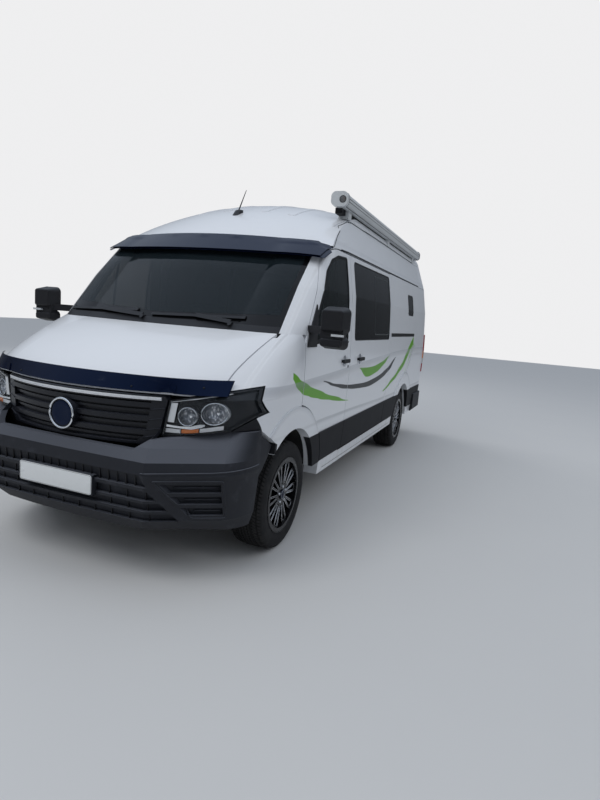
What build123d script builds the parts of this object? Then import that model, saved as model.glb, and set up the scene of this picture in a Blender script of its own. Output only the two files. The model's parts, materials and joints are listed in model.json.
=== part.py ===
from build123d import *
import os
from collections import namedtuple
from functools import cache
from math import cos, hypot, radians, sin

os.makedirs("parts", exist_ok=True)

# A high-roof panel van fitted out as a camper. Millimetres: the ground is z = 0,
# the nose points to -Y and the sliding-door side is +X.

# Overall sizes
LENGTH = 5986
WHEELBASE = 3640
FRONT_OVERHANG = 1003
HALF_WIDTH = 1020
ROOF_Z = 2575
GUTTER_Z = 2085
WAIST_Z = 1430
SILL_Z = 360
SILL_TOP_Z = 463

# Walls, panels and gaps
WALL = 60
BONNET_THICK = 32
PILLAR_DEPTH = 110
REAR_CORNER = 45
GLASS = 6
GLASS_RECESS = 3
PANEL_GAP = 7
SCUTTLE_GAP = 4
CLADDING = 8
SEAT_CLEARANCE = 0.5

# Wheels
TYRE_RADIUS = 365
TYRE_WIDTH = 245
WHEEL_X = 862.5
RIM_LIP_RADIUS = 254
RIM_SEAT_RADIUS = 232
RIM_WALL = 10
BEAD_INSET = 16
SPOKE_PAIRS = 10
STUB_RADIUS = 30
KINGPIN_X = 750
ARCH_RADIUS = 455
FLARE_RADIUS = 600
LINER_RADIUS = 468
FRONT_LINER_X = 495
REAR_LINER_X = 650

# Side doors and windows, as distances behind the front axle
DOOR_FRONT = 100
DOOR_REAR = 1130
SLIDE_REAR = 2630
WINDOW_BOTTOM_Z = 1385
WINDOW_TOP_Z = 2040
WINDOW_CORNER = 45
BAND_TOP_Z = 710

# Windscreen seen from the front
SCREEN_LOW_X = 875
SCREEN_HIGH_X = 855
SCREEN_BOTTOM_Z = 1470
SCREEN_TOP_Z = 2062

# Rear doors
REAR_INSET = 45
REAR_DOOR_X = 905
REAR_DOOR_BOTTOM = 620
REAR_DOOR_TOP = 2343

# Floor and frame
FLOOR_Z = 540
RAIL_X = 440
RAIL_WIDTH = 80
RAIL_DEPTH = 40

# Bumper and bonnet edges
BUMPER_WALL = 40
BUMPER_TOP_Z = 885
BONNET_LIP_Z = 1075
BONNET_HALF = 822

FRONT_Y = -LENGTH / 2
REAR_Y = LENGTH / 2
FRONT_AXLE_Y = FRONT_Y + FRONT_OVERHANG
REAR_AXLE_Y = FRONT_AXLE_Y + WHEELBASE
BODY_REAR_Y = REAR_Y - REAR_INSET
DOOR_FRONT_Y = FRONT_AXLE_Y + DOOR_FRONT
DOOR_REAR_Y = FRONT_AXLE_Y + DOOR_REAR
SLIDE_REAR_Y = FRONT_AXLE_Y + SLIDE_REAR
RAIL_Z = SILL_TOP_Z - RAIL_DEPTH
FIREWALL_Y = FRONT_AXLE_Y - 40
LAMP_PLANE_Y = FRONT_Y + 700
FLANK_FROM_X = 0.65 * HALF_WIDTH
REACH = 2 * HALF_WIDTH
FAR = 2 * LENGTH

# Side outlines are drawn on a plane inside the flank and run outwards from it
SIDE = Plane.YZ.offset(FLANK_FROM_X)
FRONT = Plane.XZ
NOSE_FACE = Plane.XZ.offset(-LAMP_PLANE_Y)
REAR_FACE = Plane.XZ.offset(2 * PILLAR_DEPTH - BODY_REAR_Y)

# Plan outlines of the body: the nose, the shoulder where the nose turns into the
# corner, and the point where the corner meets the flank. Distances back are from
# the foremost point, and tuck is how far the flank stands in from the half width.
Station = namedtuple("Station", "z nose_back shoulder_x shoulder_back flank_back tuck")
NOSE = (
    Station(340, 110, 560, 190, 640, 35),
    Station(750, 75, 575, 200, 640, 8),
    Station(1060, 63, 580, 203, 690, 0),
    Station(1140, 123, 580, 215, 850, 0),
)
BONNET_TOP = (NOSE[-1], Station(1330, 493, 600, 570, 1110, 5), Station(WAIST_Z, 793, 600, 873, 1243, 10))
CAB = (
    BONNET_TOP[-1],
    Station(1750, 1093, 600, 1183, 1493, 30),
    Station(GUTTER_Z, 1408, 600, 1498, 1793, 86),
)

# Bumper outlines: the front face ends at the shoulder, an oblique face carries the
# fog recess out to the corner, and an arc turns into the flank.
BumperRow = namedtuple(
    "BumperRow", "z nose_back shoulder_x shoulder_back corner_x corner_back flank_x flank_back")
BUMPER = (
    BumperRow(315, 110, 500, 135, 850, 360, 960, 545),
    BumperRow(400, 45, 560, 60, 905, 300, 985, 520),
    BumperRow(640, 4, 590, 12, 926, 262, 1004, 490),
    BumperRow(665, 0, 590, 6, 934, 254, 1010, 490),
    BumperRow(735, 4, 590, 14, 925, 262, 1008, 490),
    BumperRow(800, 48, 575, 70, 905, 320, 1006, 500),
    BumperRow(BUMPER_TOP_Z, 80, 570, 190, 880, 400, 1002, 515),
)


def between(rows, z):
    """The outline at height z, worked out from the two stations around it."""
    low, high = next(pair for pair in zip(rows, rows[1:]) if pair[0].z <= z <= pair[1].z)
    share = (z - low.z) / (high.z - low.z)
    return Station(*(a + share * (b - a) for a, b in zip(low, high)))


def outline(station, inset=0):
    """One closed plan outline of the body, drawn in by inset."""
    nose_y = FRONT_Y + station.nose_back + inset
    shoulder = (station.shoulder_x - inset / 2, FRONT_Y + station.shoulder_back + inset)
    flank = (HALF_WIDTH - station.tuck - inset, FRONT_Y + station.flank_back)
    rear = BODY_REAR_Y - inset
    corner_x = flank[0] - REAR_CORNER
    corner_y = rear - REAR_CORNER
    with BuildSketch(Plane.XY.offset(station.z)) as sketch:
        with BuildLine():
            ThreePointArc((-shoulder[0], shoulder[1]), (0, nose_y), shoulder)
            for side in (1, -1):
                TangentArc((side * flank[0], flank[1]), (side * shoulder[0], shoulder[1]), tangent=(0, -1))
                Line((side * flank[0], flank[1]), (side * flank[0], corner_y))
                TangentArc((side * flank[0], corner_y), (side * corner_x, rear), tangent=(0, 1))
            Line((corner_x, rear), (-corner_x, rear))
        make_face()
    return sketch.sketch


@cache
def storey(rows, inset=0):
    """One level of the body between its outlines: the bonnet's level is smooth, the others are flat."""
    with BuildPart() as level:
        loft([outline(row, inset).face() for row in rows], ruled=rows is not BONNET_TOP)
    return level.part


# Roof section, and the profile of the forehead that is turned about an upright axis
ROOF_SIDE_X = 810
ROOF_SIDE_Z = 2430
ROOF_EDGE_X = 690
ROOF_EDGE_Z = 2535
FOREHEAD_AXIS_BACK = 3093
Forehead = namedtuple("Forehead", "back z")
FOREHEAD = (Forehead(CAB[-1].nose_back, GUTTER_Z), Forehead(1910, 2354), Forehead(2313, 2497))


def forehead_form(inset):
    """The dome that slopes up from the windscreen, with the straight roof behind it."""
    axis_y = FRONT_Y + FOREHEAD_AXIS_BACK
    base_z = GUTTER_Z - abs(inset) - GLASS
    top_z = ROOF_Z + WALL
    with BuildPart() as dome:
        with BuildSketch(Plane.YZ):
            with BuildLine():
                brow = ThreePointArc(*((FRONT_Y + row.back + inset, row.z - inset) for row in FOREHEAD))
                crown = TangentArc(brow @ 1, (axis_y, ROOF_Z - inset + GLASS), tangent=brow % 1)
                Polyline(crown @ 1, (axis_y, base_z), ((brow @ 0).X, base_z), brow @ 0)
            make_face()
        revolve(axis=Axis((0, axis_y, 0), (0, 0, 1)))
        with BuildSketch(Plane.XZ.offset(-axis_y)):
            with Locations((0, (base_z + top_z) / 2)):
                Rectangle(REACH, top_z - base_z)
        extrude(amount=axis_y - REAR_Y)
    return dome.part


@cache
def roof_cap(inset, rounded=True):
    """The closed form above the gutter, with its rear edge rounded or left sharp."""
    side_x = HALF_WIDTH - CAB[-1].tuck - inset
    base_z = GUTTER_Z - abs(inset)
    edge_z = ROOF_EDGE_Z - inset
    with BuildPart() as cap:
        with BuildSketch(Plane.XZ.offset(inset - BODY_REAR_Y)):
            with BuildLine():
                ThreePointArc((-ROOF_EDGE_X, edge_z), (0, ROOF_Z - inset), (ROOF_EDGE_X, edge_z))
                for side in (1, -1):
                    lean = Line((side * side_x, base_z), (side * (ROOF_SIDE_X - inset), ROOF_SIDE_Z - inset))
                    TangentArc(lean @ 1, (side * ROOF_EDGE_X, edge_z), tangent=lean % 1)
                Line((side_x, base_z), (-side_x, base_z))
            make_face()
        extrude(amount=LENGTH)
        add(forehead_form(inset), mode=Mode.INTERSECT)
        if rounded:
            rear_edges = cap.faces().sort_by(Axis.Y)[-1].edges().sort_by(Axis.Z)[1:]
            fillet(rear_edges, REAR_CORNER)
    return cap.part


@cache
def hull(inset=0, rounded=True):
    """The whole closed body form, drawn in by inset, or let out where it is negative."""
    with BuildPart() as form:
        add(storey(NOSE, inset))
        add(storey(BONNET_TOP, inset))
        add(storey(CAB, inset))
        add(roof_cap(inset, rounded))
    return form.part


@cache
def bumper_form(inset=0):
    """The closed bumper form, drawn in by inset."""
    faces = []
    for row in BUMPER:
        shoulder = (row.shoulder_x - inset / 2, FRONT_Y + row.shoulder_back + inset)
        corner = (row.corner_x - inset * 0.6, FRONT_Y + row.corner_back + inset * 0.8)
        flank = (row.flank_x - inset, FRONT_Y + row.flank_back)
        with BuildSketch(Plane.XY.offset(row.z)) as sketch:
            with BuildLine():
                ThreePointArc((-shoulder[0], shoulder[1]), (0, FRONT_Y + row.nose_back + inset), shoulder)
                for side in (1, -1):
                    Line((side * shoulder[0], shoulder[1]), (side * corner[0], corner[1]))
                    TangentArc((side * flank[0], flank[1]), (side * corner[0], corner[1]), tangent=(0, -1))
                    Line((side * flank[0], flank[1]), (side * flank[0], FRONT_AXLE_Y))
                Line((flank[0], FRONT_AXLE_Y), (-flank[0], FRONT_AXLE_Y))
            make_face()
        faces.append(sketch.sketch.face())
    with BuildPart() as form:
        loft(faces, ruled=True)
    return form.part


def layer(outside, inside):
    """The sheet that lies between two closed forms, one inside the other."""
    with BuildPart() as sheet:
        add(outside)
        add(inside, mode=Mode.SUBTRACT)
    return sheet.part


def polygon(plane, points, grow=0, corner=0):
    """A closed outline through the points, with its corners rounded and its edge let out."""
    with BuildSketch(plane) as sketch:
        with BuildLine():
            Polyline(*points, close=True)
        make_face()
        if corner:
            fillet(sketch.vertices(), corner)
        if grow:
            offset(amount=grow, kind=Kind.INTERSECTION)
    return sketch.sketch


def rectangle(plane, low, high, grow=0, corner=0):
    """An upright rectangle between two opposite corners."""
    points = (low, (high[0], low[1]), high, (low[0], high[1]))
    return polygon(plane, points, grow, corner)


def both_sides(points):
    """The points of a half outline, right round from the left half to the right."""
    return [(x, z) for x, z in points] + [(-x, z) for x, z in reversed(points)]


def axle_disc(axle_y, radius):
    """A disc about an axle, seen from the side."""
    with BuildSketch(SIDE) as sketch:
        with Locations((axle_y, TYRE_RADIUS)):
            Circle(radius)
    return sketch.sketch


def block(low, high):
    """A box between two opposite corners."""
    with BuildPart() as form:
        with Locations(tuple((a + b) / 2 for a, b in zip(low, high))):
            Box(*(abs(b - a) for a, b in zip(low, high)))
    return form.part


def front_door_outline(grow=0):
    """The front door seen from the side: it leans back with the pillar and clears the arch flare."""
    slide = DOOR_FRONT_Y
    top_z = GUTTER_Z - PANEL_GAP
    with BuildSketch(SIDE) as sketch:
        with BuildLine():
            pillar = Polyline((slide, 800), (slide, 1375), (slide + 372, 1906))
            ThreePointArc(pillar @ 1, (slide + 505, 2022), (slide + 720, top_z))
            Polyline((slide + 720, top_z), (DOOR_REAR_Y, top_z), (DOOR_REAR_Y, SILL_TOP_Z + PANEL_GAP),
                     (slide, SILL_TOP_Z + PANEL_GAP), (slide, 800))
        make_face()
        with Locations((FRONT_AXLE_Y, TYRE_RADIUS)):
            Circle(FLARE_RADIUS + PANEL_GAP, mode=Mode.SUBTRACT)
        offset(amount=grow - PANEL_GAP / 2, kind=Kind.INTERSECTION)
    return sketch.sketch


def sliding_door_outline(grow=0):
    """The sliding door seen from the side."""
    return rectangle(SIDE, (DOOR_REAR_Y, SILL_TOP_Z + PANEL_GAP), (SLIDE_REAR_Y, GUTTER_Z - PANEL_GAP),
                     grow=grow - PANEL_GAP / 2)


def door_window(grow=0):
    """The front door's window: its front edge follows the pillar."""
    slide = DOOR_FRONT_Y
    corners = ((slide + 85, WINDOW_BOTTOM_Z), (slide + 440, 1890), (slide + 560, 1985),
               (slide + 720, 2028), (DOOR_REAR_Y - 85, WINDOW_TOP_Z), (DOOR_REAR_Y - 85, WINDOW_BOTTOM_Z))
    return polygon(SIDE, corners, grow=grow, corner=18)


SLIDE_WINDOW = ((DOOR_REAR_Y + 105, WINDOW_BOTTOM_Z), (SLIDE_REAR_Y - 55, WINDOW_TOP_Z))
QUARTER_WINDOW = ((REAR_AXLE_Y - 40, 1675), (REAR_AXLE_Y + 310, 1930))


def side_window(window):
    """A window with rounded corners in a flat side panel."""
    return rectangle(SIDE, *window, corner=WINDOW_CORNER)


def rear_door_outline(grow=0):
    """The left rear door seen from behind."""
    corners = ((PANEL_GAP / 2, REAR_DOOR_BOTTOM), (REAR_DOOR_X, REAR_DOOR_BOTTOM), (REAR_DOOR_X, 2010),
               (REAR_DOOR_X - 25, 2085), (REAR_DOOR_X - 112, REAR_DOOR_TOP), (PANEL_GAP / 2, REAR_DOOR_TOP))
    return polygon(REAR_FACE, corners, grow=grow)


def rear_window():
    """The window of the left rear door."""
    corners = ((110, WINDOW_BOTTOM_Z), (790, WINDOW_BOTTOM_Z), (765, 2000), (110, 2000))
    return polygon(REAR_FACE, corners, corner=WINDOW_CORNER)


def windscreen_outline(below=0):
    """The windscreen seen from the front, or its opening down past the scuttle."""
    low_x = SCREEN_LOW_X + below * (SCREEN_LOW_X - SCREEN_HIGH_X) / (SCREEN_TOP_Z - SCREEN_BOTTOM_Z)
    half = ((low_x, SCREEN_BOTTOM_Z - below), (SCREEN_HIGH_X, SCREEN_TOP_Z))
    return polygon(FRONT, both_sides(half))


def lamp_outline(side, grow=0):
    """A headlamp seen from the front."""
    corners = [(side * x, z) for x, z in ((560, 845), (890, 890), (1005, 985), (970, 1128), (596, 1045))]
    return polygon(NOSE_FACE, corners, grow=grow)


def grille_outline(grow=0):
    """The grille seen from the front: wide at the top and narrow at the bumper."""
    return polygon(NOSE_FACE, both_sides(((480, 790), (545, 845), (584, 1045), (560, 1066))), grow=grow)


def bonnet_plan(grow=0):
    """The bonnet seen from above."""
    half = ((BONNET_HALF, FRONT_Y - WALL), (BONNET_HALF + 8, FRONT_Y + 480),
            (BONNET_HALF + 50, FRONT_Y + 990))
    return polygon(Plane.XY, both_sides(half), grow=grow)


# The closed forms that every panel is cut from
outer = hull()
pane_face = hull(GLASS_RECESS, rounded=False)
pane_back = hull(GLASS_RECESS + GLASS, rounded=False)
lining_face = hull(WALL + PANEL_GAP)
pillar_back = hull(PILLAR_DEPTH)
proud = hull(-CLADDING)

skin = layer(outer, hull(WALL))
pane = layer(pane_face, pane_back)
raised = layer(proud, outer)
groove = layer(outer, pane_back)

# Side doors, with the black band round the lower body and the dished handles

HANDLE_Z = 1225
HANDLE_PROUD = 26
HANDLE_THICK = 12
HANDLE_DISH = 18
HANDLE_DISH_RADIUS = 46
HANDLE_SIZE = (168, 30)
FRONT_HANDLE_Y = DOOR_REAR_Y - 150
SLIDE_HANDLE_Y = DOOR_REAR_Y + 305

with BuildPart() as band:
    add(raised)
    extrude(rectangle(SIDE, (FRONT_AXLE_Y, SILL_TOP_Z), (BODY_REAR_Y - WALL, BAND_TOP_Z)), amount=REACH,
            mode=Mode.INTERSECT)


def handle_dish(handle_y):
    """The round hollow behind a door handle."""
    with BuildPart() as dish:
        add(layer(outer, storey(BONNET_TOP, HANDLE_DISH)))
        with BuildSketch(SIDE):
            with Locations((handle_y, HANDLE_Z)):
                Circle(HANDLE_DISH_RADIUS)
        extrude(amount=REACH, mode=Mode.INTERSECT)
    return dish.part


def handle(handle_y):
    """A bar handle that stands on two feet beside its dish."""
    with BuildPart() as bar:
        add(layer(storey(BONNET_TOP, -HANDLE_PROUD), storey(BONNET_TOP, HANDLE_THICK - HANDLE_PROUD)))
        with BuildSketch(SIDE):
            with Locations((handle_y, HANDLE_Z)):
                RectangleRounded(*HANDLE_SIZE, HANDLE_SIZE[1] / 2 - 1)
        extrude(amount=REACH, mode=Mode.INTERSECT)
    with BuildPart() as feet:
        add(layer(storey(BONNET_TOP, HANDLE_THICK / 2 - HANDLE_PROUD), outer))
        with BuildSketch(SIDE):
            with Locations((handle_y, HANDLE_Z)):
                with GridLocations(2 * HANDLE_DISH_RADIUS + 44, 0, 2, 1):
                    Rectangle(HANDLE_SIZE[1], HANDLE_SIZE[1] - 8)
        extrude(amount=REACH, mode=Mode.INTERSECT)
    with BuildPart() as whole:
        add(bar.part)
        add(feet.part)
    return whole.part


with BuildPart() as front_door_left:
    add(skin)
    add(band.part)
    extrude(front_door_outline(), amount=REACH, mode=Mode.INTERSECT)
    extrude(door_window(), amount=REACH, mode=Mode.SUBTRACT)
    add(handle_dish(FRONT_HANDLE_Y), mode=Mode.SUBTRACT)

with BuildPart() as door_handle_left:
    add(handle(FRONT_HANDLE_Y))

with BuildPart() as door_glass_left:
    add(pane)
    extrude(door_window(), amount=REACH, mode=Mode.INTERSECT)

with BuildPart() as sliding_door:
    add(skin)
    add(band.part)
    extrude(sliding_door_outline(), amount=REACH, mode=Mode.INTERSECT)
    extrude(side_window(SLIDE_WINDOW), amount=REACH, mode=Mode.SUBTRACT)
    add(handle_dish(SLIDE_HANDLE_Y), mode=Mode.SUBTRACT)

with BuildPart() as slide_handle:
    add(handle(SLIDE_HANDLE_Y))

with BuildPart() as window_prisms:
    extrude(side_window(SLIDE_WINDOW), amount=REACH)
    mirror(about=Plane.YZ)
    extrude(side_window(QUARTER_WINDOW), amount=REACH)

with BuildPart() as side_glass:
    add(pane)
    add(window_prisms.part, mode=Mode.INTERSECT)

# Side walls: the sill, the pillar between the doors, and the panel over the rear wheel

SLIDE_RAIL = ((SLIDE_REAR_Y + 50, WAIST_Z - 16), (SLIDE_REAR_Y + 1460, WAIST_Z + 24))

with BuildPart() as wall_sheet:
    add(skin)
    add(band.part)
    wall_outline = rectangle(SIDE, (DOOR_REAR_Y - WALL, SILL_TOP_Z), (BODY_REAR_Y, GUTTER_Z - PANEL_GAP / 2))
    extrude(wall_outline, amount=REACH, mode=Mode.INTERSECT)

with BuildPart() as sill:
    add(layer(outer, pillar_back))
    extrude(rectangle(SIDE, (DOOR_FRONT_Y, SILL_Z), (BODY_REAR_Y, SILL_TOP_Z)), amount=REACH,
            mode=Mode.INTERSECT)

with BuildPart() as b_pillar:
    add(layer(lining_face, pillar_back))
    extrude(rectangle(SIDE, (DOOR_REAR_Y - WALL, SILL_TOP_Z), (DOOR_REAR_Y + WALL, GUTTER_Z)), amount=REACH,
            mode=Mode.INTERSECT)

with BuildPart() as rear_flare:
    add(raised)
    extrude(axle_disc(REAR_AXLE_Y, FLARE_RADIUS), amount=REACH, mode=Mode.INTERSECT)
    extrude(rectangle(SIDE, (FRONT_AXLE_Y, BAND_TOP_Z), (REAR_Y, WAIST_Z)), amount=REACH, mode=Mode.INTERSECT)

with BuildPart() as rear_opening:
    extrude(rear_door_outline(grow=PANEL_GAP), amount=-FAR)
    mirror(about=Plane.YZ)
    opening_y = (BODY_REAR_Y - 2 * WALL, BODY_REAR_Y + 2 * WALL)
    add(block((-PANEL_GAP / 2, opening_y[0], REAR_DOOR_BOTTOM), (PANEL_GAP / 2, opening_y[1], REAR_DOOR_TOP)))
    below_z = 2 * SILL_TOP_Z - REAR_DOOR_BOTTOM
    below_x = REAR_DOOR_X + PANEL_GAP
    add(block((-below_x, opening_y[0], below_z), (below_x, opening_y[1], REAR_DOOR_BOTTOM)))


def side_wall(sliding):
    """One side of the body on the +X side, with or without the sliding door's opening."""
    with BuildPart() as wall:
        add(wall_sheet.part)
        add(rear_flare.part)
        extrude(front_door_outline(grow=PANEL_GAP), amount=REACH, mode=Mode.SUBTRACT)
        if sliding:
            extrude(sliding_door_outline(grow=PANEL_GAP), amount=REACH, mode=Mode.SUBTRACT)
            extrude(side_window(QUARTER_WINDOW), amount=REACH, mode=Mode.SUBTRACT)
            add(rail_groove.part, mode=Mode.SUBTRACT)
        else:
            extrude(side_window(SLIDE_WINDOW), amount=REACH, mode=Mode.SUBTRACT)
        add(sill.part)
        add(b_pillar.part)
        extrude(axle_disc(REAR_AXLE_Y, ARCH_RADIUS), amount=REACH, mode=Mode.SUBTRACT)
        extrude(axle_disc(FRONT_AXLE_Y, FLARE_RADIUS + PANEL_GAP), amount=REACH, mode=Mode.SUBTRACT)
        add(rear_opening.part, mode=Mode.SUBTRACT)
    return wall.part


with BuildPart() as rail_groove:
    add(groove)
    extrude(rectangle(SIDE, *SLIDE_RAIL), amount=REACH, mode=Mode.INTERSECT)

with BuildPart() as slide_rail:
    add(pane)
    extrude(rectangle(SIDE, *SLIDE_RAIL), amount=REACH, mode=Mode.INTERSECT)

with BuildPart() as side_wall_left:
    add(side_wall(sliding=True))
with BuildPart() as side_wall_right:
    add(mirror(side_wall(sliding=False), about=Plane.YZ))

# Roof with the windscreen pillars, the sunk panel above the gutter and the long ribs

SUNK_PANEL_DEPTH = 6
SUNK_PANEL_FRONT = -950
SUNK_PANEL_Z = (2150, 2395)
RIB_HEIGHT = 3
RIB_WIDTH = 60
RIB_X = (180, 430)

with BuildPart() as side_cut:
    extrude(front_door_outline(grow=PANEL_GAP), amount=REACH)
    under_gutter = rectangle(SIDE, (DOOR_FRONT_Y + 720, WAIST_Z - WALL), (FAR, GUTTER_Z))
    extrude(under_gutter, amount=REACH)
    mirror(about=Plane.YZ)

with BuildPart() as sunk_panels:
    add(layer(roof_cap(0, rounded=False), roof_cap(SUNK_PANEL_DEPTH, rounded=False)))
    with BuildSketch(Plane.YZ.offset(ROOF_SIDE_X - GLASS)):
        with BuildLine():
            low, high = SUNK_PANEL_Z
            front = ThreePointArc((SUNK_PANEL_FRONT + 150, low), (SUNK_PANEL_FRONT, low + 90),
                                  (SUNK_PANEL_FRONT + 260, high))
            Polyline(front @ 1, (BODY_REAR_Y - 2 * WALL, high), (BODY_REAR_Y - 2 * WALL, low), front @ 0)
        make_face()
    extrude(amount=REACH, mode=Mode.INTERSECT)
    mirror(about=Plane.YZ)

with BuildPart() as ribs:
    add(layer(roof_cap(-RIB_HEIGHT, rounded=False), roof_cap(RIB_HEIGHT, rounded=False)))
    with BuildSketch():
        for rib_x in RIB_X:
            for side in (1, -1):
                with Locations((side * rib_x, (FRONT_Y + FOREHEAD[1].back + BODY_REAR_Y) / 2)):
                    Rectangle(RIB_WIDTH, BODY_REAR_Y - FRONT_Y - FOREHEAD[1].back - 4 * WALL)
    extrude(amount=2 * ROOF_Z, mode=Mode.INTERSECT)

with BuildPart() as roof:
    add(skin)
    add(block((-REACH, -FAR, WAIST_Z), (REACH, FAR, 2 * ROOF_Z)), mode=Mode.INTERSECT)
    add(side_cut.part, mode=Mode.SUBTRACT)
    extrude(windscreen_outline(below=WALL), amount=LENGTH / 2, mode=Mode.SUBTRACT)
    add(rear_opening.part, mode=Mode.SUBTRACT)
    add(sunk_panels.part, mode=Mode.SUBTRACT)
    add(ribs.part)

with BuildPart() as windscreen:
    add(pane)
    extrude(windscreen_outline(), amount=LENGTH / 2, mode=Mode.INTERSECT)

# Nose: the wings, the bonnet and the scuttle behind it

with BuildPart() as nose_cut:
    for side in (1, -1):
        extrude(lamp_outline(side, grow=PANEL_GAP), amount=LENGTH / 2)
    extrude(grille_outline(grow=PANEL_GAP), amount=LENGTH / 2)
    extrude(bonnet_plan(grow=PANEL_GAP), amount=ROOF_Z)
    scuttle_z = SCREEN_BOTTOM_Z - WALL - PANEL_GAP
    add(block((0, -FAR, scuttle_z), (SCREEN_LOW_X + 2 * PANEL_GAP, FAR, ROOF_Z)))
    bumper_zone = ((FRONT_Y - WALL, 0), (FRONT_AXLE_Y - 300, 0), (FRONT_AXLE_Y - 300, 780),
                   (FRONT_AXLE_Y - 480, BUMPER_TOP_Z + PANEL_GAP), (FRONT_Y - WALL, BUMPER_TOP_Z + PANEL_GAP))
    extrude(polygon(Plane.YZ, bumper_zone), amount=REACH, both=True)

with BuildPart() as front_flare:
    add(raised)
    extrude(axle_disc(FRONT_AXLE_Y, FLARE_RADIUS), amount=REACH, mode=Mode.INTERSECT)

with BuildPart() as wing_zone:
    wing_rear = DOOR_FRONT_Y - PANEL_GAP / 2
    extrude(rectangle(SIDE, (FRONT_Y - WALL, SILL_TOP_Z), (wing_rear, WAIST_Z)), amount=REACH)
    extrude(axle_disc(FRONT_AXLE_Y, FLARE_RADIUS), amount=REACH)
    add(block((-FAR, -FAR, 0), (FAR, FAR, SILL_TOP_Z)), mode=Mode.SUBTRACT)

with BuildPart() as front_wings:
    add(skin)
    add(front_flare.part)
    add(wing_zone.part, mode=Mode.INTERSECT)
    extrude(axle_disc(FRONT_AXLE_Y, ARCH_RADIUS), amount=REACH, mode=Mode.SUBTRACT)
    add(nose_cut.part, mode=Mode.SUBTRACT)
    mirror(about=Plane.YZ)

# The bonnet ends on an upright face that follows the scuttle's front edge
with BuildPart() as behind_bonnet:
    extrude(outline(CAB[0], -SCUTTLE_GAP), amount=WALL, both=True)

with BuildPart() as bonnet:
    add(outer)
    add(hull(BONNET_THICK, rounded=False), mode=Mode.SUBTRACT)
    extrude(bonnet_plan(), amount=ROOF_Z, mode=Mode.INTERSECT)
    add(block((-FAR, -FAR, BONNET_LIP_Z), (FAR, FAR, WAIST_Z)), mode=Mode.INTERSECT)
    add(behind_bonnet.part, mode=Mode.SUBTRACT)
    for side in (1, -1):
        extrude(lamp_outline(side, grow=PANEL_GAP), amount=LENGTH / 2, mode=Mode.SUBTRACT)

with BuildPart() as scuttle:
    add(skin)
    extrude(windscreen_outline(below=WALL), amount=LENGTH / 2, mode=Mode.INTERSECT)
    add(block((-FAR, -FAR, SCREEN_BOTTOM_Z - WALL), (FAR, FAR, SCREEN_BOTTOM_Z)), mode=Mode.INTERSECT)
    extrude(outline(CAB[0]), amount=WALL, both=True, mode=Mode.INTERSECT)


def prism(sketch, amount=LENGTH / 2):
    """The straight form that an outline sweeps out."""
    with BuildPart() as form:
        extrude(sketch, amount=amount)
    return form.part


def disc(plane, centre, radius):
    """A round outline."""
    with BuildSketch(plane) as sketch:
        with Locations(centre):
            Circle(radius)
    return sketch.sketch


def cut_layer(outside, inside, form):
    """What a form cuts from the sheet between two closed forms."""
    with BuildPart() as piece:
        add(layer(outside, inside))
        add(form, mode=Mode.INTERSECT)
    return piece.part


# Wipers: a blade along the foot of the glass, and an arm from its spindle on the scuttle

BLADE_PROUD = 16
BLADE_HEIGHT = 16
ARM_PROUD = 26
ARM_HEIGHT = 24
ARM_LAP = 2
SPINDLE_RADIUS = 12
SPINDLE_Z = 1469
Wiper = namedtuple("Wiper", "spindle_x from_x to_x from_z to_z")
WIPERS = (Wiper(-80, -800, -150, 1480, 1502), Wiper(560, -20, 640, 1484, 1506))


def strip(start, end, height):
    """A straight strip of even height across the windscreen, seen from the front."""
    return prism(polygon(FRONT, (start, end, (end[0], end[1] + height), (start[0], start[1] + height))))


with BuildPart() as wipers:
    for wiper in WIPERS:
        start, end = (wiper.from_x, wiper.from_z), (wiper.to_x, wiper.to_z)
        middle = ((wiper.from_x + wiper.to_x) / 2, (wiper.from_z + wiper.to_z) / 2)
        spindle = (wiper.spindle_x, SPINDLE_Z)
        add(cut_layer(storey(CAB, -BLADE_PROUD), pane_face, strip(start, end, BLADE_HEIGHT)))
        arm = strip(spindle, middle, ARM_HEIGHT)
        add(cut_layer(storey(CAB, -ARM_PROUD), storey(CAB, ARM_LAP - BLADE_PROUD), arm))
        add(cut_layer(storey(CAB, -ARM_PROUD), outer, prism(disc(FRONT, spindle, SPINDLE_RADIUS))))

# Grille: slats in pairs, broad ones at the face and thin ones set back, with a bare round boss

SLAT_PAIRS = 3
BROAD_SLAT = 26
THIN_SLAT = 13
THIN_SLAT_BACK = 14
GRILLE_DEPTH = 45
GRILLE_BACK = 14
GRILLE_OPENING = ((430, 803), (478, 845), (505, 1031))
BOSS_RADIUS = 85
BOSS_RIM = 10
BOSS_DISH = 4
BOSS_CENTRE = (0, 915)
BOSS_FACE_Y = FRONT_Y + 44
BOSS_DEPTH = 66
TRIM_PROUD = 3
TRIM_Z = (1036, 1058)
TRIM_LINE_Z = (1045, 1048)
TRIM_HALF = 556

opening_low, opening_high = GRILLE_OPENING[0][1], GRILLE_OPENING[-1][1]
slat_pitch = (opening_high - opening_low) / SLAT_PAIRS


def slats(height, up):
    """Level bars right across the grille, one for each pair."""
    with BuildPart() as bars:
        for pair in range(SLAT_PAIRS):
            z = opening_low + slat_pitch * (pair + up)
            add(block((-REACH, FRONT_Y - WALL, z - height / 2), (REACH, LAMP_PLANE_Y, z + height / 2)))
    return bars.part


with BuildPart() as grille_openings:
    add(layer(storey(NOSE, -WALL), storey(NOSE, GRILLE_DEPTH - GRILLE_BACK)))
    extrude(polygon(NOSE_FACE, both_sides(GRILLE_OPENING)), amount=LENGTH / 2, mode=Mode.INTERSECT)
    add(slats(BROAD_SLAT, 0.72), mode=Mode.SUBTRACT)
    add(slats(THIN_SLAT, 0.27), mode=Mode.SUBTRACT)

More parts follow.
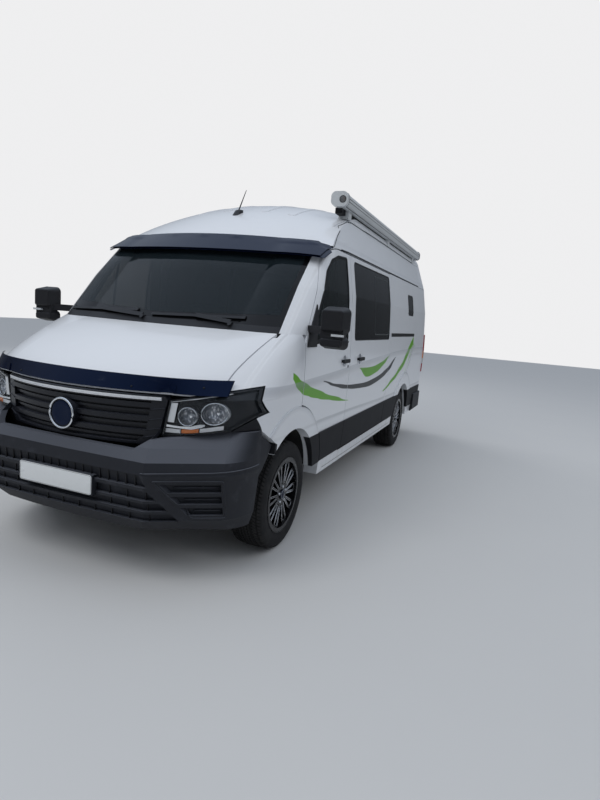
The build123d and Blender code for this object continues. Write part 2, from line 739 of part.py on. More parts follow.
with BuildPart() as thin_slat_setback:
    add(layer(storey(NOSE, -WALL), storey(NOSE, GLASS_RECESS + THIN_SLAT_BACK)))
    extrude(polygon(NOSE_FACE, both_sides(GRILLE_OPENING)), amount=LENGTH / 2, mode=Mode.INTERSECT)
    add(slats(THIN_SLAT + 2, 0.27), mode=Mode.INTERSECT)

with BuildPart() as grille:
    add(layer(storey(NOSE, GLASS_RECESS), storey(NOSE, GLASS_RECESS + GRILLE_DEPTH)))
    extrude(grille_outline(), amount=LENGTH / 2, mode=Mode.INTERSECT)
    add(grille_openings.part, mode=Mode.SUBTRACT)
    add(thin_slat_setback.part, mode=Mode.SUBTRACT)
    boss_plane = Plane.XZ.offset(-BOSS_FACE_Y)
    extrude(disc(boss_plane, BOSS_CENTRE, BOSS_RADIUS), amount=-BOSS_DEPTH)
    extrude(disc(boss_plane, BOSS_CENTRE, BOSS_RADIUS - BOSS_RIM), amount=-BOSS_DISH, mode=Mode.SUBTRACT)

with BuildPart() as grille_trim:
    trim_form = prism(rectangle(NOSE_FACE, (-TRIM_HALF, TRIM_Z[0]), (TRIM_HALF, TRIM_Z[1])))
    line_form = prism(rectangle(NOSE_FACE, (-TRIM_HALF, TRIM_LINE_Z[0]), (TRIM_HALF, TRIM_LINE_Z[1])))
    add(cut_layer(storey(NOSE, -TRIM_PROUD), storey(NOSE, GLASS_RECESS), trim_form))
    add(cut_layer(storey(NOSE, -2 * TRIM_PROUD), storey(NOSE, 0), line_form), mode=Mode.SUBTRACT)

# Headlamps: a housing with two bowls turned out of its bezel, behind a clear lens

LAMP_DEPTH = 120
LAMP_RIM = 9
LENS = 4
BEZEL_DEPTH = 22
BOWL_DEPTH = 58
Bowl = namedtuple("Bowl", "x z radius back")
BOWLS = (Bowl(692, 962, 50, 246), Bowl(822, 985, 60, 315))


def bowl_form(bowl):
    """The hollow of one lamp bowl: open to the front, with a round floor."""
    centre = Plane(origin=(bowl.x, FRONT_Y + bowl.back, bowl.z), x_dir=(1, 0, 0), z_dir=(0, 0, 1))
    with BuildPart() as form:
        with BuildSketch(centre):
            with BuildLine():
                edge = (bowl.radius, 0)
                ThreePointArc((0, BOWL_DEPTH), (0.72 * bowl.radius, 0.62 * BOWL_DEPTH), edge)
                Polyline(edge, (bowl.radius, -3 * WALL), (0, -3 * WALL), (0, BOWL_DEPTH))
            make_face()
        revolve(axis=Axis(centre.origin, (0, 1, 0)))
    return form.part


with BuildPart() as headlamp_housings:
    add(cut_layer(storey(NOSE, LENS), storey(NOSE, LAMP_DEPTH), prism(lamp_outline(1))))
    bezel = prism(lamp_outline(1, grow=-LAMP_RIM))
    add(cut_layer(storey(NOSE), storey(NOSE, BEZEL_DEPTH), bezel), mode=Mode.SUBTRACT)
    for bowl in BOWLS:
        add(bowl_form(bowl), mode=Mode.SUBTRACT)
    mirror(about=Plane.YZ)

with BuildPart() as headlamp_lenses:
    add(cut_layer(storey(NOSE), storey(NOSE, LENS), prism(lamp_outline(1))))
    mirror(about=Plane.YZ)

# Bumper: pockets for the upper slot, the lower bars and the corner louvres, and the plate's pad

POCKET_DEPTH = 28
BUMPER_REAR_Y = FRONT_AXLE_Y - 470
SLOT = ((600, 597), (565, 668))
LOWER_ROWS = ((520, 578), (456, 504), (392, 440))
LOUVRE_ROWS = ((566, 618), (498, 546), (430, 478))
LOUVRE_OUT_X = 912
LOUVRE_IN = ((650, 618), (752, 430))
LOWER_OUT = ((592, 578), (715, 392))
PLATE_PAD = (266, 498, 612)
PLATE_PAD_DEPTH = 34
PLATE_PAD_Y = FRONT_Y + 3


def along(line, z):
    """Where a slanted edge, given by its two ends, stands at height z."""
    (top_x, top_z), (low_x, low_z) = line
    return top_x + (top_z - z) * (low_x - top_x) / (top_z - low_z)


with BuildPart() as pocket_forms:
    extrude(polygon(NOSE_FACE, both_sides(SLOT)), amount=LENGTH / 2)
    for low, high in LOWER_ROWS:
        row = both_sides(((along(LOWER_OUT, low), low), (along(LOWER_OUT, high), high)))
        extrude(polygon(NOSE_FACE, row), amount=LENGTH / 2)
    for low, high in LOUVRE_ROWS:
        for side in (1, -1):
            row = [(side * x, z) for x, z in ((along(LOUVRE_IN, low), low), (LOUVRE_OUT_X, low),
                                              (LOUVRE_OUT_X, high), (along(LOUVRE_IN, high), high))]
            extrude(polygon(NOSE_FACE, row), amount=LENGTH / 2)

with BuildPart() as front_bumper:
    add(layer(bumper_form(), bumper_form(BUMPER_WALL)))
    extrude(rectangle(Plane.YZ, (FRONT_Y - WALL, 0), (BUMPER_REAR_Y, ROOF_Z)), amount=REACH, both=True,
            mode=Mode.INTERSECT)
    pockets = cut_layer(bumper_form(-POCKET_DEPTH), bumper_form(POCKET_DEPTH), pocket_forms.part)
    add(pockets, mode=Mode.SUBTRACT)
    pad_x, pad_low, pad_high = PLATE_PAD
    add(block((-pad_x, PLATE_PAD_Y, pad_low), (pad_x, PLATE_PAD_Y + PLATE_PAD_DEPTH, pad_high)))
    extrude(grille_outline(grow=PANEL_GAP), amount=LENGTH / 2, mode=Mode.SUBTRACT)
    for side in (1, -1):
        extrude(lamp_outline(side, grow=PANEL_GAP), amount=LENGTH / 2, mode=Mode.SUBTRACT)
    with Locations((0, FRONT_AXLE_Y, TYRE_RADIUS)):
        Cylinder(LINER_RADIUS + SCUTTLE_GAP, FAR, rotation=(0, 90, 0), mode=Mode.SUBTRACT)

# Rear doors with their hinge barrels, the lamps round the corners, and the rear bumper

HINGE_X = REAR_DOOR_X + PANEL_GAP / 2
HINGE_Y = BODY_REAR_Y + 20
HINGE_RADIUS = 11
HINGE_LENGTH = 70
HINGE_LEAF = (70, 8)
HINGE_Z = (790, 1530, 1990)
TAIL_LAMP_Z = (900, 1440)
TAIL_LAMP_X = 935
TAIL_LAMP_WRAP = 62
TAIL_LAMP_PROUD = 12

with BuildPart() as rear_door_left:
    add(skin)
    add(block((0, BODY_REAR_Y - WALL, SILL_TOP_Z), (REACH, REAR_Y, 2 * ROOF_Z)), mode=Mode.INTERSECT)
    extrude(rear_door_outline(), amount=-FAR, mode=Mode.INTERSECT)
    extrude(rear_window(), amount=-FAR, mode=Mode.SUBTRACT)
    for hinge_z in HINGE_Z:
        half = HINGE_LENGTH / 2
        leaf, thick = HINGE_LEAF
        with Locations((HINGE_X, HINGE_Y, hinge_z)):
            Cylinder(HINGE_RADIUS, HINGE_LENGTH)
        add(block((HINGE_X - leaf, BODY_REAR_Y, hinge_z - half),
                  (HINGE_X - HINGE_RADIUS - 2, BODY_REAR_Y + thick, hinge_z + half)))
        add(block((HINGE_X - HINGE_RADIUS - 6, BODY_REAR_Y, hinge_z - half),
                  (HINGE_X - HINGE_RADIUS + 4, HINGE_Y + 3, hinge_z + half)))

with BuildPart() as rear_glass_left:
    add(pane)
    extrude(rear_window(), amount=-FAR, mode=Mode.INTERSECT)

with BuildPart() as tail_lamps:
    add(layer(hull(-TAIL_LAMP_PROUD, rounded=False), outer))
    add(block((TAIL_LAMP_X, BODY_REAR_Y - TAIL_LAMP_WRAP, TAIL_LAMP_Z[0]), (REACH, FAR, TAIL_LAMP_Z[1])),
        mode=Mode.INTERSECT)
    mirror(about=Plane.YZ)

REAR_BUMPER_WRAP = 560
REAR_BUMPER_CORNER = 60
REAR_BUMPER_TOP = REAR_DOOR_BOTTOM - 2 * PANEL_GAP
STEP_INSET = 30
STEP_DEPTH = 6

with BuildPart() as rear_bumper:
    half = HALF_WIDTH + CLADDING
    add(block((-half, REAR_Y - REAR_BUMPER_WRAP, SILL_Z), (half, REAR_Y, REAR_BUMPER_TOP)))
    fillet(rear_bumper.edges().filter_by(Axis.Z).group_by(Axis.Y)[-1], REAR_BUMPER_CORNER)
    chamfer(rear_bumper.faces().sort_by(Axis.Z)[0].edges().sort_by(Axis.Y)[-1], STEP_INSET)
    add(proud, mode=Mode.SUBTRACT)
    add(block((-REAR_DOOR_X, BODY_REAR_Y + STEP_DEPTH, SILL_Z + WALL),
              (REAR_DOOR_X, REAR_Y - STEP_DEPTH * 2, REAR_BUMPER_TOP - STEP_INSET)), mode=Mode.SUBTRACT)

# Wheels: tyre and rim turned about the wheel's axis, with thin framed spokes from hub to rim


def wheel_plane(side, axle_y, out=0):
    """A plane through the wheel's centre: x runs outwards along the axle."""
    return Plane(origin=(side * (WHEEL_X + out), axle_y, TYRE_RADIUS), x_dir=(side, 0, 0), z_dir=(0, 0, 1))


BEAD_X = TYRE_WIDTH / 2 - BEAD_INSET
TyreRow = namedtuple("TyreRow", "from_edge radius")
TYRE_SIDE = (
    TyreRow(BEAD_INSET, RIM_SEAT_RADIUS),
    TyreRow(BEAD_INSET, RIM_LIP_RADIUS),
    TyreRow(0, (RIM_LIP_RADIUS + TYRE_RADIUS) / 2 - 10),
    TyreRow(9, TYRE_RADIUS - 16),
    TyreRow(30, TYRE_RADIUS),
)


def tyre(side, axle_y):
    """A low-profile tyre seated on the rim."""
    plane = wheel_plane(side, axle_y)
    half = [(TYRE_WIDTH / 2 - row.from_edge, row.radius) for row in TYRE_SIDE]
    with BuildPart() as ring:
        with BuildSketch(plane):
            with BuildLine():
                Polyline(*half, *((-x, radius) for x, radius in reversed(half)), close=True)
            make_face()
        revolve(axis=Axis(plane.origin, plane.x_dir))
    return ring.part


HUB_RADIUS = 72
HUB_FACE = 74
SPOKE_THICK = 26
CENTRE_CAP_RADIUS = 34
CENTRE_CAP_PROUD = 6
DISC_RADIUS = 165
DISC_NEAR = -40
DISC_FAR = -64
DISC_LAP = 8

# One spoke seen along the axle, as a long frame: distance from the hub's centre and half width
SpokeRow = namedtuple("SpokeRow", "out half")
SPOKE_EDGE = (SpokeRow(HUB_RADIUS - 12, 13), SpokeRow(196, 31), SpokeRow(RIM_SEAT_RADIUS - RIM_WALL / 2, 21))
SPOKE_HOLE = (SpokeRow(HUB_RADIUS + 16, 5), SpokeRow(190, 20), SpokeRow(209, 14))


def rim(side, axle_y):
    """A cast rim with framed spokes, its hub bored for the stub axle, and the brake disc behind."""
    plane = wheel_plane(side, axle_y)
    axle = Axis(plane.origin, plane.x_dir)
    bore = STUB_RADIUS + SEAT_CLEARANCE
    lip_low = RIM_SEAT_RADIUS - RIM_WALL
    sections = (
        (-BEAD_X, BEAD_X, lip_low, RIM_SEAT_RADIUS),
        (BEAD_X, BEAD_X + RIM_WALL, lip_low, RIM_LIP_RADIUS),
        (-BEAD_X - RIM_WALL, -BEAD_X, lip_low, RIM_LIP_RADIUS),
        (DISC_FAR, HUB_FACE, bore, HUB_RADIUS),
        (HUB_FACE, HUB_FACE + SPOKE_THICK, 0, HUB_RADIUS),
        (HUB_FACE, HUB_FACE + SPOKE_THICK + CENTRE_CAP_PROUD, 0, CENTRE_CAP_RADIUS),
        (DISC_FAR, DISC_NEAR, HUB_RADIUS - DISC_LAP, DISC_RADIUS),
    )
    face = Plane(origin=wheel_plane(side, axle_y, HUB_FACE).origin, x_dir=(0, 1, 0), z_dir=(side, 0, 0))
    with BuildPart() as cast:
        with BuildSketch(plane):
            for near, far, low, high in sections:
                with Locations(((near + far) / 2, (low + high) / 2)):
                    Rectangle(far - near, high - low)
        revolve(axis=axle)
        with BuildSketch(face):
            with PolarLocations(0, SPOKE_PAIRS):
                Polygon(*both_sides_of(SPOKE_EDGE))
            with PolarLocations(0, SPOKE_PAIRS):
                Polygon(*both_sides_of(SPOKE_HOLE), mode=Mode.SUBTRACT)
        extrude(amount=SPOKE_THICK)
    return cast.part


def both_sides_of(rows):
    """A spoke's outline, from its rows on one side and back along the other."""
    return [(row.out, row.half) for row in rows] + [(row.out, -row.half) for row in reversed(rows)]


WHEELS = (("front_left", 1, FRONT_AXLE_Y), ("front_right", -1, FRONT_AXLE_Y),
          ("rear_left", 1, REAR_AXLE_Y), ("rear_right", -1, REAR_AXLE_Y))

# Steering knuckles: the upright on its ball stud, the strut above, the stub axle and the steering arm

UPRIGHT_HALF_WIDTH = 37
UPRIGHT_DEPTH = 110
UPRIGHT_HALF_HEIGHT = 110
STUB_END = WHEEL_X + HUB_FACE - 10
STRUT_X = 680
STRUT_RADIUS = 28
STRUT_TOP = 800
SPRING_SEAT_RADIUS = 40
SPRING_SEAT_Z = 605
SPRING_SEAT_THICK = 12
STEERING_ARM = (24, 160, 28)
BALL_STUD_RADIUS = 14
BALL_JOINT_GAP = 6
ARM_TOP = 225


def knuckle(side):
    """One front knuckle, turning about the upright line through its ball stud."""
    upright_low = TYRE_RADIUS - UPRIGHT_HALF_HEIGHT
    upright_high = TYRE_RADIUS + UPRIGHT_HALF_HEIGHT
    inner_x = KINGPIN_X - UPRIGHT_HALF_WIDTH
    outer_x = KINGPIN_X + UPRIGHT_HALF_WIDTH
    half_depth = UPRIGHT_DEPTH / 2
    arm_width, arm_length, arm_height = STEERING_ARM
    arm_y = FRONT_AXLE_Y + half_depth - 20
    arm_z = TYRE_RADIUS - 64
    with BuildPart() as part:
        add(block((inner_x, FRONT_AXLE_Y - half_depth, upright_low),
                  (outer_x, FRONT_AXLE_Y + half_depth, upright_high)))
        fillet(part.edges().filter_by(Axis.X), 24)
        add(block((STRUT_X, FRONT_AXLE_Y - STRUT_RADIUS, upright_high - WALL),
                  (inner_x + 10, FRONT_AXLE_Y + STRUT_RADIUS, upright_high - 10)))
        add(block((inner_x, arm_y, arm_z), (inner_x + arm_width, arm_y + arm_length, arm_z + arm_height)))
        with Locations(((outer_x + STUB_END) / 2, FRONT_AXLE_Y, TYRE_RADIUS)):
            Cylinder(STUB_RADIUS, STUB_END - outer_x, rotation=(0, 90, 0))
        with Locations((STRUT_X, FRONT_AXLE_Y, (TYRE_RADIUS + STRUT_TOP) / 2)):
            Cylinder(STRUT_RADIUS, STRUT_TOP - TYRE_RADIUS)
        with Locations((STRUT_X, FRONT_AXLE_Y, SPRING_SEAT_Z)):
            Cylinder(SPRING_SEAT_RADIUS, SPRING_SEAT_THICK)
        stud_low = ARM_TOP + BALL_JOINT_GAP
        with Locations((KINGPIN_X, FRONT_AXLE_Y, (upright_low + stud_low) / 2)):
            Cylinder(BALL_STUD_RADIUS, upright_low - stud_low)
    if side > 0:
        return part.part
    return mirror(part.part, about=Plane.YZ)


# Suspension: lower arms and a cross beam at the front, a beam axle on leaf springs at the rear

ARM_DEPTH = 22
ARM_HALF = 45
ARM_REACH = 15
BRACKET_HALF = 30
SPRING_THICK = 18
SPRING_HALF_LENGTH = 650
SHACKLE_AT = 630
SHACKLE_HALF = 20
BEAM_RADIUS = 52
BEAM_END = WHEEL_X - 75
CROSS_BEAM_DEPTH = 40

spring_top = TYRE_RADIUS - BEAM_RADIUS + 1
spring_low = spring_top - SPRING_THICK

with BuildPart() as suspension:
    add(block((RAIL_X - BRACKET_HALF, FRONT_AXLE_Y - ARM_HALF, ARM_TOP - ARM_DEPTH),
              (KINGPIN_X + ARM_REACH, FRONT_AXLE_Y + ARM_HALF, ARM_TOP)))
    add(block((RAIL_X - BRACKET_HALF, FRONT_AXLE_Y - ARM_HALF, ARM_TOP - ARM_DEPTH),
              (RAIL_X + BRACKET_HALF, FRONT_AXLE_Y + ARM_HALF, RAIL_Z)))
    add(block((RAIL_X - BRACKET_HALF, REAR_AXLE_Y - SPRING_HALF_LENGTH, spring_low),
              (RAIL_X + BRACKET_HALF, REAR_AXLE_Y + SPRING_HALF_LENGTH, spring_top)))
    for end in (1, -1):
        shackle_y = REAR_AXLE_Y + end * SHACKLE_AT
        add(block((RAIL_X - BRACKET_HALF + 4, shackle_y - SHACKLE_HALF, spring_low),
                  (RAIL_X + BRACKET_HALF - 4, shackle_y + SHACKLE_HALF, RAIL_Z)))
    with Locations((STUB_END / 2, REAR_AXLE_Y, TYRE_RADIUS)):
        Cylinder(STUB_RADIUS, STUB_END, rotation=(0, 90, 0))
    with Locations((BEAM_END / 2, REAR_AXLE_Y, TYRE_RADIUS)):
        Cylinder(BEAM_RADIUS, BEAM_END, rotation=(0, 90, 0))
    mirror(about=Plane.YZ)
    add(block((-RAIL_X, FRONT_AXLE_Y - ARM_HALF, ARM_TOP),
              (RAIL_X, FRONT_AXLE_Y + ARM_HALF, ARM_TOP + CROSS_BEAM_DEPTH)))

# Floor, firewall, wheel liners and chassis

FIREWALL_THICK = 20
FIREWALL_TOP = 1350
HOUSE_WALL = 10
LINER_SHORT = WALL + 4 * PANEL_GAP
FRONT_PANEL_THICK = 25
FRONT_PANEL_HALF = 900
FRONT_PANEL_Z = (800, 1060)
GRILLE_POST_X = (250, 310)
HORN_BACK = (300, 360)
HORN_HALF = 25
HORN_TOP = SILL_TOP_Z + 400
NOSE_ZONE = 320
CROSS_MEMBERS = (FRONT_Y + 440, FRONT_AXLE_Y + 2100, REAR_AXLE_Y - 800, BODY_REAR_Y - 160)
EYE_RADIUS = 20
EYE_PLATE = 20
EYE_HALF = 40
EYE_Y = BODY_REAR_Y - 85
EYE_Z = 310

House = namedtuple("House", "axle_y radius from_x")
HOUSES = (House(FRONT_AXLE_Y, LINER_RADIUS, FRONT_LINER_X),
          House(REAR_AXLE_Y, ARCH_RADIUS - HOUSE_WALL, REAR_LINER_X))


def drum(house, radius, from_x, to_x, side):
    """A round form about an axle between two distances from the middle."""
    with BuildPart() as form:
        with Locations((side * (from_x + to_x) / 2, house.axle_y, TYRE_RADIUS)):
            Cylinder(radius, to_x - from_x, rotation=(0, 90, 0))
    return form.part


with BuildPart() as liner_room:
    for house in HOUSES:
        for side in (1, -1):
            add(drum(house, house.radius + HOUSE_WALL, house.from_x, HALF_WIDTH + FLARE_RADIUS, side))

with BuildPart() as wheel_liners:
    for house in HOUSES:
        for side in (1, -1):
            add(drum(house, house.radius + HOUSE_WALL, house.from_x, HALF_WIDTH - LINER_SHORT, side))
    for house in HOUSES:
        for side in (1, -1):
            add(drum(house, house.radius, house.from_x + HOUSE_WALL, FAR, side), mode=Mode.SUBTRACT)
    add(block((-FAR, -FAR, -FAR), (FAR, FAR, SILL_TOP_Z)), mode=Mode.SUBTRACT)

with BuildPart() as floor_pan:
    add(lining_face)
    add(block((-FAR, FIREWALL_Y, SILL_TOP_Z), (FAR, BODY_REAR_Y, FLOOR_Z)), mode=Mode.INTERSECT)
    add(liner_room.part, mode=Mode.SUBTRACT)
    add(b_pillar.part, mode=Mode.SUBTRACT)
    mirror(b_pillar.part, about=Plane.YZ, mode=Mode.SUBTRACT)

with BuildPart() as firewall:
    add(lining_face)
    add(block((-FAR, FIREWALL_Y, FLOOR_Z), (FAR, FIREWALL_Y + FIREWALL_THICK, FIREWALL_TOP)),
        mode=Mode.INTERSECT)
    add(liner_room.part, mode=Mode.SUBTRACT)

with BuildPart() as chassis_zone:
    add(block((-HALF_WIDTH, FRONT_Y + NOSE_ZONE, 0), (HALF_WIDTH, BODY_REAR_Y - WALL, ROOF_Z)))
    add(bumper_form(BUMPER_WALL))

with BuildPart() as chassis:
    for side in (1, -1):
        add(block((side * RAIL_X - RAIL_WIDTH / 2, FRONT_Y, RAIL_Z),
                  (side * RAIL_X + RAIL_WIDTH / 2, BODY_REAR_Y, SILL_TOP_Z)))
        add(block((side * RAIL_X - HORN_HALF, FRONT_Y + HORN_BACK[0], RAIL_Z),
                  (side * RAIL_X + HORN_HALF, FRONT_Y + HORN_BACK[1], HORN_TOP)))
    for cross_y in CROSS_MEMBERS:
        add(block((-RAIL_X, cross_y - RAIL_WIDTH / 2, RAIL_Z),
                  (RAIL_X, cross_y + RAIL_WIDTH / 2, SILL_TOP_Z)))
    add(chassis_zone.part, mode=Mode.INTERSECT)
    panel_low, panel_high = FRONT_PANEL_Z
    front_panel = prism(rectangle(NOSE_FACE, (-FRONT_PANEL_HALF, panel_low), (FRONT_PANEL_HALF, panel_high)))
    add(cut_layer(storey(NOSE, LAMP_DEPTH), storey(NOSE, LAMP_DEPTH + FRONT_PANEL_THICK), front_panel))
    for side in (1, -1):
        near, far = (side * x for x in GRILLE_POST_X)
        post = prism(rectangle(NOSE_FACE, (near, panel_low), (far, panel_high - WALL)))
        add(cut_layer(storey(NOSE, GLASS_RECESS + GRILLE_DEPTH), storey(NOSE, LAMP_DEPTH + 1), post))

with BuildPart() as towing_eye:
    add(block((RAIL_X - EYE_PLATE / 2, EYE_Y - EYE_HALF, EYE_Z - EYE_HALF),
              (RAIL_X + EYE_PLATE / 2, EYE_Y + EYE_HALF, RAIL_Z)))
    with Locations((RAIL_X, EYE_Y, EYE_Z)):
        Cylinder(EYE_RADIUS, 4 * EYE_PLATE, rotation=(0, 90, 0), mode=Mode.SUBTRACT)

# Engine block, and the exhaust under the floor with its outlet ahead of a rear wheel

ENGINE_HALF = 330
ENGINE_BACK = (290, 790)
ENGINE_TOP = 1020
EXHAUST_RADIUS = 24
EXHAUST_BORE = 21
EXHAUST_X = -250
EXHAUST_DROP = 14
EXHAUST_Z = RAIL_Z - EXHAUST_RADIUS - EXHAUST_DROP
EXHAUST_BEND = 55
EXHAUST_TURN_Y = REAR_AXLE_Y - 730
EXHAUST_TURN = 170
EXHAUST_END_X = 862
SILENCER = ((-350, -200, 343), (-150, 450, 423))
SILENCER_CORNER = 34

with BuildPart() as engine:
    add(block((-ENGINE_HALF, FRONT_Y + ENGINE_BACK[0], SILL_TOP_Z),
              (ENGINE_HALF, FRONT_Y + ENGINE_BACK[1], ENGINE_TOP)))

with BuildPart() as exhaust:
    engine_rear = FRONT_Y + ENGINE_BACK[1]
    with BuildLine():
        pipe = FilletPolyline((EXHAUST_X, engine_rear, 500), (EXHAUST_X, engine_rear + 90, 500),
                              (EXHAUST_X, engine_rear + 200, EXHAUST_Z),
                              (EXHAUST_X, EXHAUST_TURN_Y - EXHAUST_TURN, EXHAUST_Z),
                              (EXHAUST_X - EXHAUST_TURN, EXHAUST_TURN_Y, EXHAUST_Z),
                              (-EXHAUST_END_X, EXHAUST_TURN_Y, EXHAUST_Z), radius=EXHAUST_BEND)
    with BuildSketch(Plane(origin=pipe @ 0, z_dir=pipe % 0)):
        Circle(EXHAUST_RADIUS)
    sweep()
    add(block(*SILENCER))
    fillet(exhaust.edges().filter_by(Axis.Y).filter_by(lambda edge: edge.length > 600), SILENCER_CORNER)
    with BuildSketch(Plane(origin=pipe @ 1, z_dir=-(pipe % 1))):
        Circle(EXHAUST_BORE)
    extrude(amount=80, mode=Mode.SUBTRACT)

# Fittings outside: visor, deflector, mirrors, aerial, awning

VISOR_THICK = 6
VISOR_HALF = 950
VISOR_BACK = 1640
VISOR_LOW = between(CAB, 1972)
VISOR_HIGH = Station(2112, 1442, 600, 1556, 1860, 92)
VISOR_OUT = (62, 2)
VISOR_PAD = (26, 20)
VISOR_PAD_PITCH = 280
VISOR_PAD_Z = 2098


def flared_ring(low, high, out, thick):
    """A thin band between two plan outlines, standing out from them by two distances."""
    with BuildPart() as outside:
        loft([outline(low, -out[0]).face(), outline(high, -out[1]).face()], ruled=True)
    with BuildPart() as inside:
        under = low._replace(z=low.z - 1)
        over = high._replace(z=high.z + 1)
        loft([outline(under, thick - out[0]).face(), outline(over, thick - out[1]).face()], ruled=True)
    return layer(outside.part, inside.part)


with BuildPart() as visor_pads:
    add(raised)
    with BuildSketch(FRONT):
        with Locations((0, VISOR_PAD_Z)):
            with GridLocations(VISOR_PAD_PITCH, 0, 5, 1):
                Rectangle(*VISOR_PAD)
    extrude(amount=LENGTH / 2, mode=Mode.INTERSECT)

with BuildPart() as sun_visor:
    add(flared_ring(VISOR_LOW, VISOR_HIGH, VISOR_OUT, VISOR_THICK))
    add(block((-VISOR_HALF, FRONT_Y, VISOR_LOW.z - WALL),
              (VISOR_HALF, FRONT_Y + VISOR_BACK, VISOR_HIGH.z + WALL)), mode=Mode.INTERSECT)
    add(outer, mode=Mode.SUBTRACT)
    add(visor_pads.part)

DEFLECTOR_LOW = between(NOSE, 1084)
DEFLECTOR_HIGH = NOSE[-1]._replace(z=1167)
DEFLECTOR_OUT = (14, 10)
DEFLECTOR_HALF = 872
DEFLECTOR_BACK = 440
DEFLECTOR_PAD = 24
DEFLECTOR_PAD_Z = 1122
DEFLECTOR_PAD_X = (-700, -350, 0, 350, 700)
FOLD = ((548, 1080), (590, 1122), (628, 1080))

with BuildPart() as deflector_pads:
    add(layer(storey(NOSE, -DEFLECTOR_OUT[1]), outer))
    with BuildSketch(NOSE_FACE):
        for pad_x in DEFLECTOR_PAD_X:
            with Locations((pad_x, DEFLECTOR_PAD_Z)):
                Rectangle(DEFLECTOR_PAD, DEFLECTOR_PAD)
    extrude(amount=LENGTH / 2, mode=Mode.INTERSECT)

with BuildPart() as bonnet_deflector:
    add(flared_ring(DEFLECTOR_LOW, DEFLECTOR_HIGH, DEFLECTOR_OUT, VISOR_THICK))
    add(block((-DEFLECTOR_HALF, FRONT_Y - WALL, DEFLECTOR_LOW.z - WALL),
              (DEFLECTOR_HALF, FRONT_Y + DEFLECTOR_BACK, DEFLECTOR_HIGH.z + WALL)), mode=Mode.INTERSECT)
    extrude(polygon(NOSE_FACE, FOLD), amount=LENGTH / 2, mode=Mode.SUBTRACT)
    add(outer, mode=Mode.SUBTRACT)
    add(deflector_pads.part)

# Door mirrors: a large upper shell and a small lower one on a common core and arm

MIRROR_X = 1203
MIRROR_Y = FRONT_AXLE_Y + 118
MIRROR_SPLIT_Z = 1447
MIRROR_CORE_Z = (1385, 1560)
MIRROR_CORE = (150, 70)
Shell = namedtuple("Shell", "width low high corner depth taper")
SHELLS = (Shell(188, MIRROR_SPLIT_Z + 5, 1628, 42, 108, 13), Shell(180, 1357, MIRROR_SPLIT_Z - 5, 34, 96, 11))
MIRROR_EDGE = 14
GLASS_RIM = 10
GLASS_DIP = 4
MIRROR_ROOT_X = 960
MIRROR_ARM_Z = 1446
MIRROR_ARM_HEIGHT = 50
MIRROR_FOOT = ((20, 1352), (30, 1385), (215, 1640), (190, 1352))


def mirror_shell(shell):
    """One shell of the mirror head, open side to the rear, narrower towards the front."""
    back = Plane.XZ.offset(-MIRROR_Y)
    middle = (MIRROR_X, (shell.low + shell.high) / 2)
    height = shell.high - shell.low
    glass_size = (shell.width - 2 * GLASS_RIM, height - 2 * GLASS_RIM)
    with BuildPart() as form:
        with BuildSketch(back):
            with Locations(middle):
                RectangleRounded(shell.width, height, shell.corner)
        extrude(amount=shell.depth, taper=shell.taper)
        fillet(form.faces().sort_by(Axis.Y)[0].edges(), MIRROR_EDGE)
        with BuildSketch(back):
            with Locations(middle):
                RectangleRounded(*glass_size, shell.corner - GLASS_RIM)
        extrude(amount=GLASS_DIP, mode=Mode.SUBTRACT)
    return form.part


with BuildPart() as mirror_foot:
    add(raised)
    foot = [(DOOR_FRONT_Y + back, z) for back, z in MIRROR_FOOT]
    extrude(polygon(SIDE, foot), amount=REACH, mode=Mode.INTERSECT)

with BuildPart() as mirror_left:
    for shell in SHELLS:
        add(mirror_shell(shell))
    core_x, core_y = MIRROR_CORE
    add(block((MIRROR_X - core_x / 2, MIRROR_Y - core_y - 14, MIRROR_CORE_Z[0]),
              (MIRROR_X + core_x / 2, MIRROR_Y - 14, MIRROR_CORE_Z[1])))
    arm = ((MIRROR_ROOT_X, DOOR_FRONT_Y + 90), (MIRROR_ROOT_X, DOOR_FRONT_Y + 165),
           (MIRROR_X - core_x / 2 + 20, MIRROR_Y - 18), (MIRROR_X - core_x / 2 + 20, MIRROR_Y - core_y))
    extrude(polygon(Plane.XY.offset(MIRROR_ARM_Z), arm), amount=MIRROR_ARM_HEIGHT)
    add(mirror_foot.part)
    add(outer, mode=Mode.SUBTRACT)

AERIAL_BACK = 1910
AERIAL_LEAN = 123
AERIAL_TIP_Z = 2561
AERIAL_FIN = (46, 120, 44)
AERIAL_ROD = 6

with BuildPart() as aerial:
    root_y = FRONT_Y + AERIAL_BACK
    root_z = FOREHEAD[1].z
    fin_width, fin_length, fin_height = AERIAL_FIN
    with BuildSketch(Plane.YZ):
        with BuildLine():
            Polyline((root_y - fin_length, root_z - 90), (root_y + fin_length / 2, root_z - 20),
                     (root_y + fin_length / 2 - 10, root_z + fin_height),
                     (root_y - 6, root_z + fin_height - 12), close=True)
        make_face()
    extrude(amount=fin_width / 2, both=True, taper=12)
    lean = Plane(origin=(0, root_y, root_z + 10), x_dir=(1, 0, 0),
                 z_dir=(0, AERIAL_LEAN, AERIAL_TIP_Z - root_z))
    with BuildSketch(lean):
        Circle(AERIAL_ROD)
    extrude(amount=hypot(AERIAL_LEAN, AERIAL_TIP_Z - root_z), taper=0.8)
    add(outer, mode=Mode.SUBTRACT)

AWNING_FROM = -850
AWNING_LENGTH = 3500
AWNING_X = 800
AWNING_Z = 2526
AWNING_WIDTH = 136
AWNING_HEIGHT = 110
AWNING_CORNER = 42
CAP_LENGTH = 46
CAP_PROUD = 4
BRACKET_HALF_LENGTH = 45
BRACKET_INSET = 250

